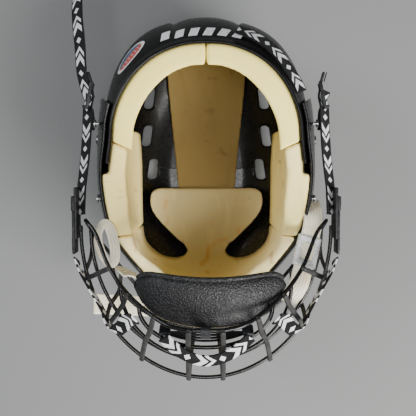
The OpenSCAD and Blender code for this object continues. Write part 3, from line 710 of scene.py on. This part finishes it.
def tree_of(thing):
    """A search tree of an object's surface, in metres."""
    mesh = thing.data
    return BVHTree.FromPolygons([v.co for v in mesh.vertices], [tuple(p.vertices) for p in mesh.polygons])


def drape(tree, outline, high, lift):
    """Points of a plan outline dropped from high onto a surface, lifted off it along its normal."""
    spots = []
    for x, y in outline:
        hit, normal, _, _ = tree.ray_cast(Vector((x, y, high)) * MM, Vector((0, 0, -1)))
        if hit is not None:
            spots.append((hit + normal * lift * MM) / MM)
    return spots


# ---- Shells ----
VENTS = [(64, 6), (70, 45), (66, 88)]
# A slot that runs off the shell has fewer points on it and gets no lip
LEAST_LIP_POINTS = 40


def vent_outline(x, y, side, grow=0.0):
    """A slanted slot with round corners, about 10 by 24 mm."""
    spots = []
    for px, py in rounded_plate(10 + 2 * grow, 24 + 2 * grow, 4 + 0.7 * grow, 1):
        spots.append((side * (x + px - 0.15 * py), y + py))
    return smooth_path(spots, 3, closed=True)


def vent_lips(name, thing, vents, high):
    """Raised lips moulded round the vents, on the surface that faces the head."""
    tree = tree_of(thing)
    lips = []
    for x, y in vents:
        for side in (-1, 1):
            path = drape(tree, vent_outline(x, y, side, 1.7), high, 0.1)
            if len(path) > LEAST_LIP_POINTS:
                lips.append(sweep(name, path, ring(0.85, 8), (side * x, y, 60), closed=True))
    return lips


def make_front_shell():
    shell = wall("front_shell_skin", 0, -SHELL_WALL)
    edge = [(x, 39.5 + 35 * (x / 100) ** 2) for x in np.linspace(-150, 150, 61)]
    cutters = [prism("cut", [*edge, (150, 400), (-150, 400)])]
    for x, y in VENTS[:2]:
        cutters += [prism("cut", vent_outline(x, y, side, 0.4)[:, :2], high=89) for side in (-1, 1)]
    carve(shell, *cutters)
    lips = vent_lips("front_lip", shell, VENTS[:1], 90)
    finish_piece(join("front_shell_skin", [shell, *lips]), "front_shell", "front_shell_plastic",
                 "front_shell")


def make_rear_shell():
    shell = wall("rear_shell_skin", REAR_OFF, REAR_IN, 0, True, True, around=360)
    edge = [(x, 5 + 0.0008 * x * x) for x in np.linspace(-150, 150, 41)]
    cutters = [prism("cut", [(-150, -400), (150, -400), *edge[::-1]])]
    for x, y in VENTS:
        cutters += [prism("cut", vent_outline(x, y, side)[:, :2], high=89) for side in (-1, 1)]
    carve(shell, *cutters)
    lips = vent_lips("rear_lip", shell, VENTS, 90)
    finish_piece(join("rear_shell_skin", [shell, *lips]), "rear_shell", "rear_shell_plastic",
                 "rear_shell")
    return tree_of(bpy.data.objects["rear_shell_skin"])


# ---- Foam ----
def round_foam(thing, voxel=1.9, passes=7):
    """Rounds every edge of a foam block: an even remesh, then smoothing."""
    modify(thing, "REMESH", mode="VOXEL", voxel_size=voxel * MM, use_smooth_shade=True)
    modify(thing, "SMOOTH", factor=0.6, iterations=passes)
    return thing


def finish_foam(thing, body, look, node, slot=None):
    finish_piece(thing, body, look, node, slot=slot)


def slab(name, outline, low, high):
    """A closed block with that outline seen from the back (X and Z), between two Y values."""
    thing = prism(name, [(x, -z) for x, z in outline], low, high)
    thing.data.transform(Matrix(((1, 0, 0, 0), (0, 0, 1, 0), (0, -1, 0, 0), (0, 0, 0, 1))))
    return thing


def make_front_liner():
    """Forehead foam with its crown tongue, cut out by one winding outline."""
    right = [(74, -64), (70.5, -77), (62, -88), (50, -96), (37, -99), (27, -97), (22.5, -91),
             (26, -84), (35, -76), (50, -61), (61, -47), (65.5, -36), (66, -27), (63, -19.5), (55, -16)]
    curve = smooth_path(right, 5)
    outline = [(160, FAR), (160, -59), (74, -59), *curve[:, :2].tolist()]
    outline += [(-x, y) for x, y in outline[::-1]]
    liner = wall("front_liner_foam", -SHELL_WALL - FOAM_GAP, -SHELL_WALL - FOAM_GAP - FRONT_FOAM,
                 0.5, soft=4)
    floor = -REAR_IN + 0.4 + CROWN_FOAM + 0.6
    carve(liner, prism("cut", outline), box_cut((-80, -34, UNDER), (80, 44, floor)))
    round_foam(liner)
    finish_foam(liner, "front_shell", "liner_foam", "front_liner")


def place(thing, at, turn=(0, 0, 0)):
    matrix = Matrix.Rotation(math.radians(turn[2]), 4, "Z")
    matrix = matrix @ Matrix.Rotation(math.radians(turn[1]), 4, "Y")
    matrix = matrix @ Matrix.Rotation(math.radians(turn[0]), 4, "X")
    thing.data.transform(Matrix.Translation(Vector(at) * MM) @ matrix)
    return thing


def on_side(thing, side):
    """Leaves a right-hand piece as it is, or mirrors it for the left side."""
    return thing if side > 0 else mirrored(thing)


def mirrored(thing):
    thing.data.transform(Matrix.Diagonal((-1, 1, 1, 1)))
    thing.data.flip_normals()
    return thing


BAND_END, BAND_END_TURN, BAND_LOW_Z, PAD_STEP_Z, PAD_REAR_Y = (78, 28), 24, 120, 124.5, 48


def end_cutter(side, x0, y0, y1, z0, back=0):
    """Box with one face on the slanted end of the rear band."""
    cut = box_cut((x0, y0, z0), (WIDE, y1, FAR))
    return on_side(place(cut, (BAND_END[0], BAND_END[1] - back, 0), (0, 0, BAND_END_TURN)), side)


def make_side_pads():
    shift = [-1.8, -1, -0.4, -0.1, 0, 0, 0.6, 2, 4]
    for side, word in SIDES:
        pad = wall(f"side_pad_{word}_foam", -SHELL_WALL - FOAM_GAP, FOAM_OFF - SIDE_FOAM, 1, soft=4)
        pocket = carve(box_cut((0, 2, UNDER), (WIDE, 100, FAR)), solid_form("cut", FOAM_OFF, 30))
        on_side(pocket, side)
        face = smooth_path([(74 + shift[k], -74 + 17.1 * k) for k in range(9)], 3)[:, :2].tolist()
        inner = [(-WIDE, -WIDE), (face[0][0], -WIDE), *face, (face[-1][0], WIDE), (-WIDE, WIDE)]
        cutters = [prism("cut", [(side * x, y) for x, y in inner]), pocket,
                   box_cut((-WIDE, -300, UNDER), (WIDE, -58.2, FAR)),
                   box_cut((-WIDE, PAD_REAR_Y, UNDER), (WIDE, 300, FAR)),
                   end_cutter(side, -60, 0, WIDE, PAD_STEP_Z, 0.6),
                   box_cut((-WIDE, -WIDE, UNDER), (WIDE, WIDE, 34))]
        carve(pad, *cutters)
        round_foam(pad)
        finish_foam(pad, "front_shell", "pad_foam", f"side_pad_{word}", slot="liner_foam")


def make_rear_foam():
    low = [(x, BAND_LOW_Z + 0.0009 * x * x) for x in np.linspace(-130, 130, 21)]
    for side, word in SIDES:
        band = wall(f"rear_band_{word}_foam", FOAM_OFF, FOAM_OFF - REAR_FOAM, -0.4, True, False, soft=3)
        other_half = [min(-side * WIDE, side * 0.3), max(-side * WIDE, side * 0.3)]
        carve(band, box_cut((-WIDE, -WIDE, UNDER), (WIDE, 10, FAR)),
              end_cutter(side, -60, -WIDE, 0, UNDER),
              box_cut((other_half[0], -WIDE, UNDER), (other_half[1], 300, FAR)),
              slab("cut", [(-130, -20), (130, -20), *low[::-1]], -WIDE, 300))
        round_foam(band)
        finish_foam(band, "rear_shell", "band_foam", f"rear_band_{word}")
    rows = [(33.5, -27), (34.6, -8), (38, 30), (41, 60), (43.5, 90), (46, 140)]
    curve = smooth_path(rows, 4)[:, :2].tolist()
    pad = wall("crown_pad_foam", REAR_IN - 0.4, REAR_IN - 0.4 - CROWN_FOAM, 0, True, True, soft=2)
    outline = prism("cut", [*curve, *[(-x, y) for x, y in curve[::-1]]], high=118)
    modify(pad, "BOOLEAN", object=outline, operation="INTERSECT", solver="MANIFOLD")
    bpy.data.objects.remove(outline)
    round_foam(pad, 1.5, 4)
    finish_foam(pad, "rear_shell", "crown_foam", "rear_crown_pad")


# ---- Cage ----
BROW_HALF, CHIN_HALF = 30, 14
EDGE_PATH = [(BROW_HALF - 1, HINGE_Y, HINGE_Z), (40, -144.5, 103), (54, -135, 103.5), (72, -117, 106.5),
             (87, -97, 114), (98, -78, 127), (106.5, -62, 143), (111.5, -49, 158), (112.5, -41.5, 171),
             (109, -42, 182), (100, -52, 189), (88.5, -75.5, 201), (76, -91.5, 214), (61, -103, 231),
             (45, -112, 246), (30, -118.5, 256), (CHIN_HALF - 1, CHIN_Y, CHIN_Z)]
CROSS_WIRES = [(158, 96, -85.4, 121, 125), (176, 110, -50, 165, 160), (184.5, 115.5, -46, 190, 179),
               (160, 74.5, -95, 213, 214), (142.5, 56, -108.5, 236, 235)]
UPRIGHT_STOPS = [
    [(10, HINGE_Y, HINGE_Z), 12, 15, 15.5, 15, 14.5, (13.5, CHIN_Y, CHIN_Z)],
    [(50, -138.5, 103.3), 53, 57, 58, 52, 46, (42, -113.6, 248.6)],
    [(86, -98.5, 113.5), 87, 90, 89, 72, (66, -99.8, 225.6)],
    [(108.3, -58, 147.5), None, 107.5, 109, (85, -80.5, 205)],
]


def cross_point(wire, x):
    reach_y, half, end_y, front_z, end_z = wire
    side = min(abs(x) / half, 1)
    bend = math.sqrt(1 - side * side)
    return (x, end_y - (reach_y + end_y) * bend, end_z + (front_z - end_z) * bend)


def stand_off(p, by):
    p, hub = np.asarray(p, float), np.asarray(CAGE_HUB, float)
    return p + by * (p - hub) / np.linalg.norm(p - hub)


def weld(name, spot, radius):
    """A flattened bead of weld under the coating, turned to face away from the head."""
    away = Vector(spot) - Vector(CAGE_HUB)
    turn = away.to_track_quat("Z", "X").to_matrix().to_4x4()
    mesh = bpy.data.meshes.new(name)
    form = bmesh.new()
    bmesh.ops.create_uvsphere(form, u_segments=16, v_segments=10, radius=radius * MM)
    form.to_mesh(mesh)
    form.free()
    mesh.transform(Matrix.Translation(Vector(spot) * MM) @ turn @ Matrix.Diagonal((1.15, 1.15, 0.8, 1)))
    mesh.shade_smooth()
    bead = bpy.data.objects.new(name, mesh)
    SCENE.collection.objects.link(bead)
    return bead


def make_wires():
    right = smooth_path(EDGE_PATH, 8)
    left = right[::-1] * (-1, 1, 1)
    edge = sweep("edge_wire_coated", np.vstack([right, left]), ring(WIRE_R, 20), CAGE_HUB, closed=True)
    finish_piece(edge, "cage", "wire_paint", "edge_wire")
    for i, wire in enumerate(CROSS_WIRES, 1):
        path = [cross_point(wire, wire[1] * math.sin(k / 36 * math.pi / 2)) for k in range(-36, 37)]
        bar = sweep(f"cross_wire_{i}_coated", path, ring(WIRE_R, 20), CAGE_HUB, dome=1.2)
        finish_piece(bar, "cage", "wire_paint", f"cross_wire_{i}")


def make_uprights():
    """Flat uprights with rounded ends, and a weld bead where each one crosses a wire."""
    by = WIRE_R + 1.3 - 0.1
    order = [(3, -1), (2, -1), (1, -1), (0, -1), (0, 1), (1, 1), (2, 1), (3, 1)]
    for number, (which, side) in enumerate(order, 1):
        stops = []
        for k, stop in enumerate(UPRIGHT_STOPS[which]):
            if stop is not None:
                stops.append(stop if isinstance(stop, tuple) else cross_point(CROSS_WIRES[k - 1], stop))
        stops = [(side * x, y, z) for x, y, z in stops]
        path = smooth_path([stand_off(p, by) for p in stops], 10)
        name = f"upright_{number}_coated"
        bar = sweep(name, path, rounded_plate(4.5, 2.6, 1.1), CAGE_HUB, dome=2.0)
        beads = [weld("bead", stand_off(p, by - 1.9), 2.1) for p in stops]
        finish_piece(join(name, [bar, *beads]), "cage", "upright_paint", f"upright_{number}")


# ---- Small hard pieces ----
def solid_block(name, size, at=(0, 0, 0), turn=(0, 0, 0), round_by=0.6):
    """A block with rounded edges, centred on a point and turned by degrees."""
    half = [v / 2 for v in size]
    thing = block(name, [-v for v in half], half)
    modify(thing, "BEVEL", width=round_by * MM, segments=3, limit_method="ANGLE")
    return place(thing, at, turn)


def lathe(name, profile, at, axis, count=32):
    """A turned piece: profile is (radius, height) pairs along the axis, closed at both ends."""
    points = []
    for radius, height in profile:
        for k in range(count):
            turn = k * math.tau / count
            points.append((radius * math.cos(turn), radius * math.sin(turn), height))
    thing = mesh_object(name, points, tube_faces(len(profile), count))
    turn = Vector(axis).to_track_quat("Z", "Y").to_matrix().to_4x4()
    thing.data.transform(Matrix.Translation(Vector(at) * MM) @ turn)
    return thing


def make_hinge_clips():
    """J clips: a strip screwed to the forehead that curls round the hinge wire."""
    inner, thick = WIRE_R + 0.08, 2.2
    for side, word in SIDES:
        x = side * 22
        path = [(x, -140.0, 78), (x, -140.0, 84), (x, -140.0, 90), (x, -140.4, 95), (x, -142.2, 98)]
        radius = inner + thick / 2
        for k in range(16):
            turn = math.radians(-50 + 320 * k / 15)
            path.append((x, HINGE_Y + radius * math.cos(turn), HINGE_Z + radius * math.sin(turn)))
        clip = sweep(f"hinge_clip_{word}_strip", smooth_path(path, 3), rounded_plate(10, thick, 0.7),
                     (x, -300, 60), dome=0.6)
        finish_piece(clip, "front_shell", "black_plastic", f"hinge_clip_{word}")


BUCKLE_AT, BUCKLE_TURN = (110, 76, 157), (0, -8, 12)


def make_buckles():
    """Ladder buckles: a frame with two bars and a ridged thumb tab."""
    for side, word in SIDES:
        parts = [solid_block("b", (3, 4, 24), (0, y, 0), round_by=0.9) for y in (-11, -2, 9)]
        parts += [solid_block("b", (3.2, 26, 3.2), (0, 0, z), round_by=1.0) for z in (-10.6, 10.6)]
        parts.append(solid_block("b", (2.4, 11, 21), (2.6, 15.5, 0), (0, 0, -26), 0.9))
        parts += [solid_block("b", (0.9, 1.1, 18), (4.6 + 0.95 * k, 13.4 + 1.9 * k, 0), (0, 0, -26), 0.35)
                  for k in range(4)]
        parts.append(solid_block("b", (5, 3, 5), (1.6, -11.5, 8.4), round_by=0.9))
        parts.append(solid_block("b", (5, 3, 5), (1.6, -11.5, -8.4), round_by=0.9))
        buckle = place(join(f"buckle_{word}_moulding", parts), BUCKLE_AT, BUCKLE_TURN)
        finish_piece(on_side(buckle, side), "front_shell", "black_plastic", f"buckle_{word}")


def make_side_clips():
    """Snap clips that hang on the cage: a stepped plate, a round snap and finger ridges."""
    for side, word in SIDES:
        parts = [solid_block("c", (2.4, 48, 20), (120.6, -34, 170), round_by=0.8),
                 solid_block("c", (2.6, 40, 17), (122.7, -52, 171), round_by=1.0),
                 solid_block("c", (3.4, 14, 20), (122.9, -25, 170), round_by=1.2),
                 lathe("c", [(5.6, 0), (5.8, 0.5), (5.6, 1.8), (4.4, 2.4), (3.9, 1.7), (1.4, 1.5)],
                       (123.4, -24.5, 170), (1, 0, 0))]
        parts += [solid_block("c", (1.0, 1.4, 13), (124.2, -58 - 3.0 * k, 171), round_by=0.4)
                  for k in range(4)]
        clip = join(f"side_clip_{word}_moulding", parts)
        finish_piece(on_side(clip, side), "cage", "black_plastic", f"side_clip_{word}")


# ---- Webbing and elastic ----
def strap(name, spots, hub, width=WEBBING_W, thick=WEBBING_T, steps=8, **settings):
    path = smooth_path(spots, steps)
    section = rounded_plate(width, thick, 0.45 * thick, 10)
    count = len(path)
    wobble = 1 + 0.012 * np.sin(np.arange(count) * 0.9) + 0.008 * np.sin(np.arange(count) * 0.37)
    return sweep(name, path, section, hub, widen=wobble, **settings)


SIDE_STRAP = [(112.5, 81, 157.5), (110.5, 74, 156.8), (112.2, 64, 157), (112.6, 48, 158), (114, 24, 160),
              (115.6, 4, 163.5), (117.0, -12, 167), (117.6, -28, 169), (117.4, -36, 170)]
LEFT_TAIL = [(-109.8, 72, 157), (-112.6, 79, 158), (-114.6, 88, 160.5), (-116, 96.5, 162.5),
             (-116.3, 103, 164), (-117, 122, 165), (-120, 146, 160), (-122, 168, 150), (-123, 186, 136)]
CAGE_STRAP = [(118, -75, 189), (111.5, -87, 196.4), (101, -103, 202), (91.5, -118, 206),
              (86.5, -129, 211), (80, -134, 216), (73, -129, 223), (66, -120, 232), (59, -116.5, 242)]


def make_webbing():
    for side, word in SIDES:
        spots = SIDE_STRAP if side > 0 else flip(SIDE_STRAP)
        belt = strap(f"side_strap_{word}_webbing", spots, STRAP_HUB)
        finish_piece(belt, "front_shell", "webbing", f"side_strap_{word}")
        spots = CAGE_STRAP if side > 0 else flip(CAGE_STRAP)
        belt = strap(f"cage_strap_{word}_webbing", spots, (0, -60, 205), width=WEBBING_W * 0.7)
        finish_piece(belt, "cage", "webbing", f"cage_strap_{word}")
    tail = strap("strap_tail_left_webbing", LEFT_TAIL, (0, 110, 60))
    finish_piece(tail, "front_shell", "webbing", "strap_tail_left")
    angle = 38 + 3.9 * np.arange(11)
    lift = REAR_OFF + 2.0 + 1.5 * ease((3 - np.arange(11)) / 3)
    spots = [band_point(a, 0.86 - 0.012 * k, d) for k, (a, d) in enumerate(zip(angle, lift))]
    tail = strap("strap_tail_right_webbing", spots, STRAP_HUB, steps=5)
    finish_piece(tail, "rear_shell", "webbing", "strap_tail_right")
    loops = []
    for side in (-1, 1):
        spots = [(side * 107.8, 44, 152.6), (side * 107.7, 54, 154), (side * 108.2, 62, 155.6),
                 (side * 109.6, 66, 156)]
        loops.append(strap("loop", spots, (0, 55, 150), width=WEBBING_W * 0.6))
    finish_piece(join("buckle_loop_webbing", loops), "front_shell", "webbing_plain", "buckle_loops",
                 slot="webbing")


EAR_MID = np.array((94, -70, 175.0))
EAR_DIR = np.array((-11, -40, 12)) / np.linalg.norm((-11, -40, 12))


def make_elastic():
    ahead = [tuple(EAR_MID + EAR_DIR * d) for d in (-24, -10, 4, 18)]
    spots = [(100.6, -25, 150), (101.4, -33, 160), (101.2, -41, 166.2), *ahead,
             (86.2, -98, 183), (82.4, -106.5, 181.5), (78, -114, 175), (74.3, -119, 163.5)]
    belt = strap("ear_strap_right_elastic", spots, EAR_MID - (0, 0, 1000), ELASTIC_W, ELASTIC_T)
    finish_piece(belt, "front_shell", "elastic", "ear_strap_right", "ear_tail_right")
    spots = [(-97, -44, 171), (-101, -56, 172), (-98, -70, 174), (-91, -82, 175), (-86, -80, 175),
             (-85, -68, 174), (-88, -54, 172), (-92.5, -45, 171)]
    path = smooth_path(spots, 8, closed=True)
    ring_strap = sweep("ear_loop_left_elastic", path, rounded_plate(ELASTIC_W * 0.55, ELASTIC_T, 0.8, 8),
                       (-92.5, -63, 160), closed=True)
    finish_piece(ring_strap, "front_shell", "elastic", "ear_strap_left")
    riser = [(-84, -92, 157), (-80, -95, 140), (-72.5, -102.5, 122), (-66, -109.5, 108), (-63, -117, 98),
             (-64, -129, 92.6)]
    flat = [(-60, -142, 90.5), (-80, -141, 90), (-102, -140, 89.4), (-122, -139.5, 89)]
    parts = [strap("t", riser, (0, -20, 110), ELASTIC_W * 0.8, ELASTIC_T),
             strap("t", flat, (-90, -140, 0), ELASTIC_W + 4, ELASTIC_T)]
    finish_piece(join("ear_tail_left_elastic", parts), "front_shell", "elastic", "ear_tail_left")


def make_slider():
    """Clear tri-glide on the right ear strap: a rounded sleeve with a bar across each mouth."""
    along, wide, tall = SLIDER_L, ELASTIC_W + 3.9, ELASTIC_T + 3.9
    sleeve = solid_block("s", (along, wide, tall), round_by=1.5)
    carve(sleeve, solid_block("cut", (along + 4, ELASTIC_W + 0.8, ELASTIC_T + 0.7), round_by=0.3))
    window = solid_block("cut", (along - 14, ELASTIC_W - 6, 2 * tall), round_by=1.2)
    carve(sleeve, window)
    rims = [solid_block("s", (1.6, wide - 3, 1.1), (x, 0, tall / 2 + 0.1), round_by=0.5)
            for x in (-along / 2 + 2.4, along / 2 - 2.4)]
    slider = join("ear_slider_clear", [sleeve, *rims])
    side = Vector((0, 0, 1)).cross(Vector(EAR_DIR)).normalized()
    up = Vector(EAR_DIR).cross(side)
    turn = Matrix((EAR_DIR, side, up)).transposed().to_4x4()
    slider.data.transform(Matrix.Translation(Vector(EAR_MID) * MM) @ turn)
    slider.data.shade_smooth()
    finish_piece(slider, "ear_slider", "clear_plastic", "ear_slider")


# ---- Chin cup ----
CUP_X, CUP_W, CUP_Z, CUP_TOP_Y, CUP_LOW_Y = 3.5, 132, 246, -83, -125.4


def cup_point(u, v, lift):
    """Point of the crescent: u runs across it, v from its front hem to its back rim."""
    back = CUP_TOP_Y + 5 * u * u - 14 * abs(u) ** 10
    front = CUP_LOW_Y + 14 * u * u + 14 * abs(u) ** 8
    swell = math.sqrt(max(1 - (2 * v - 1) ** 4, 0))
    z = CUP_Z - 26 * u * u - 9 * (1 - v) ** 2 - 3 * v
    return (CUP_X + CUP_W / 2 * u, front + (back - front) * v,
            z + lift * (0.25 + 0.75 * swell * (1 - abs(u) ** 6)))


def cup_shell(name, low, high, across=72, rows=26):
    """A closed crescent between two lifts of the cup's surface."""
    points = [cup_point(2 * i / across - 1, j / rows, lift)
              for lift in (low, high) for j in range(rows + 1) for i in range(across + 1)]
    wide, half = across + 1, (across + 1) * (rows + 1)
    faces = []
    for j in range(rows):
        for i in range(across):
            a = j * wide + i
            faces.append((a, a + wide, a + wide + 1, a + 1))
            faces.append((half + a, half + a + 1, half + a + wide + 1, half + a + wide))
    edge = [*range(across), *(across + j * wide for j in range(rows)),
            *(rows * wide + i for i in range(across, 0, -1)), *(j * wide for j in range(rows, 0, -1))]
    for a, b in zip(edge, [*edge[1:], edge[0]]):
        faces.append((a, b, half + b, half + a))
    return mesh_object(name, points, faces)


def inflate(thing, voxel, pressure, cap):
    """Puffs a pad: an even remesh, a short cloth simulation, and a cap on how far points move."""
    modify(thing, "REMESH", mode="VOXEL", voxel_size=voxel * MM, use_smooth_shade=True)
    before = np.array([v.co for v in thing.data.vertices])
    outward = np.array([v.normal for v in thing.data.vertices])
    cloth = thing.modifiers.new("cloth", "CLOTH")
    cloth.settings.use_pressure = True
    cloth.settings.uniform_pressure_force = pressure
    cloth.settings.effector_weights.gravity = 0
    cloth.point_cache.frame_end = 20
    for number in range(1, 21):
        SCENE.frame_set(number)
    bake_modifiers(thing)
    SCENE.frame_set(1)
    after = np.array([v.co for v in thing.data.vertices])
    swell = np.clip(np.sum((after - before) * outward, axis=1), 0, cap * MM)[:, None]
    thing.data.vertices.foreach_set("co", (before + outward * swell).ravel())
    modify(thing, "SMOOTH", factor=0.5, iterations=9)
    return modify(thing, "SUBSURF", levels=1, render_levels=1)


def make_chin_cup():
    random.seed(7)
    pad = cup_shell("cup", 0.2, 5.9)
    inflate(pad, 2.2, 3.0, 0.9)
    rim = [cup_point(u, 0.985, 5.2) for u in np.linspace(-0.93, 0.93, 60)]
    rim = [(x, y + 0.6, z + 0.9 + 0.35 * math.sin(9 * x / CUP_W)) for x, y, z in rim]
    roll = sweep("roll", rim, ring(2.1, 14), (0, -50, 150), dome=2.0)
    finish_piece(join("chin_cup_leather", [pad, roll]), "chin_cup", "cup_leather", "chin_cup_pad")
    base = cup_shell("cup_base_moulding", -2.5, 0.35)
    modify(base, "BEVEL", width=0.6 * MM, segments=2, limit_method="ANGLE")
    finish_piece(base, "chin_cup", "black_plastic", "chin_cup_base")
    stitches = []
    for u in np.arange(-0.86, 0.87, 0.027):
        a = Vector(cup_point(u, 0.035, 1.5)) + Vector((0, -1.0, 0.5))
        b = Vector(cup_point(u + 0.017, 0.035, 1.5)) + Vector((0, -1.0, 0.5))
        sag = (a + b) / 2 + Vector((0, -0.25, 0.25 + 0.1 * random.random()))
        stitches.append(sweep("stitch", [a, sag, b], ring(0.33, 6), (0, -50, 150), dome=0.3))
    finish_piece(join("cup_hem_stitching", stitches), "chin_cup", "cup_thread", slot="cup_leather")
    rows = []
    start_y, start_z, clear = -128.6, 238.6, 6.2
    for f in np.linspace(0, 1, 4):
        spots = [(x, start_y + f * (cross_point(CROSS_WIRES[-1], x)[1] + clear - start_y), start_z - 0.9 * f)
                 for x in np.linspace(-32, 34, 9)]
        rows.append(strap("row", spots, (0, -60, 236), width=2.9, thick=1.5, steps=6, turn=35))
    finish_piece(join("cup_front_webbing", rows), "chin_cup", "webbing_plain", slot="webbing")
    tab_x, lean = (-34, 35), (18, 0, 0)
    tabs = [solid_block("tab", (9.5, 3, 13.4), (x, -126.7, 239.2), lean, 0.9) for x in tab_x]
    tabs += [solid_block("tab", (7.5, 1.2, 1.4), (x, -127.4 - 0.93 * k, 235.9 + 2.85 * k), lean, 0.4)
             for x in tab_x for k in range(3)]
    finish_piece(join("chin_tab_mouldings", tabs), "chin_cup", "black_plastic", "chin_tabs")
    spots = [(1 + 36 * f, -151 + 20 * f * f, 245 + f * f) for f in np.linspace(-1, 1, 9)]
    belt = strap("chin_strap_webbing", spots, (0, -122, 205), width=WEBBING_W * 0.8, steps=6)
    finish_piece(belt, "chin_cup", "webbing", "chin_strap")


# ---- Plain prints on the rear shell ----
def patch(name, tree, middle, size, lean, lift=0.25, cells=20, shape=None):
    """A thin print laid on a surface: a grid sent along the inward normal at its middle."""
    hit, normal, _, _ = tree.find_nearest(Vector(middle) * MM)
    side = Vector((0, 0, 1)).cross(normal).normalized()
    up = normal.cross(side)
    c, s = math.cos(math.radians(lean)), math.sin(math.radians(lean))
    side, up = side * c + up * s, up * c - side * s
    points, u_values, v_values = [], [], []
    for j in range(cells + 1):
        for i in range(cells + 1):
            u, v = 2 * i / cells - 1, 2 * j / cells - 1
            if shape is None:
                u, v = u * math.sqrt(1 - v * v / 2), v * math.sqrt(1 - u * u / 2)
            else:
                u, v = shape(u, v)
            start = hit + side * u * size[0] / 2 * MM + up * v * size[1] / 2 * MM + normal * 0.02
            spot, _, _, _ = tree.ray_cast(start, -normal)
            points.append((spot + normal * lift * MM) / MM)
            u_values.append(u)
            v_values.append(v)
    wide = cells + 1
    faces = [(j * wide + i, j * wide + i + 1, (j + 1) * wide + i + 1, (j + 1) * wide + i)
             for j in range(cells) for i in range(cells)]
    return mesh_object(name, points, faces, badge_u=u_values, badge_v=v_values)


def slanted(u, v):
    return u + 0.45 * v, v


def make_prints():
    """Plain stand-ins for the printed marks: two oval labels and a row of slanted bars."""
    left = patch("badge_left_print", REAR_TREE, (-72, 113, 153), (40, 22), 4)
    finish_piece(left, "rear_shell", "badge_left", slot="rear_shell_plastic")
    right = patch("badge_right_print", REAR_TREE, (82, 102, 150), (34, 18), -4)
    finish_piece(right, "rear_shell", "badge_right", slot="rear_shell_plastic")
    bars = [patch("bar", REAR_TREE, (-39 + 14 * k, 134, 163), (8.5, 14), 0, 0.2, 8, slanted)
            for k in range(6)]
    finish_piece(join("rear_bars_print", bars), "rear_shell", "plain_print", slot="rear_shell_plastic")


make_stage()
make_camera()
make_front_shell()
REAR_TREE = make_rear_shell()
make_front_liner()
make_side_pads()
make_rear_foam()
make_wires()
make_uprights()
make_hinge_clips()
make_buckles()
make_side_clips()
make_webbing()
make_elastic()
make_slider()
make_chin_cup()
make_prints()
for cad_node, look in (("clip_screws", "bright_steel"), ("size_screws", "dark_steel"),
                       ("size_nuts", "bright_steel"), ("buckle_rivets", "bright_steel"),
                       ("ear_rivets", "bright_steel"), ("chin_clip", "black_plastic")):
    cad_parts[cad_node].data.materials.clear()
    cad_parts[cad_node].data.materials.append(LOOKS[look])
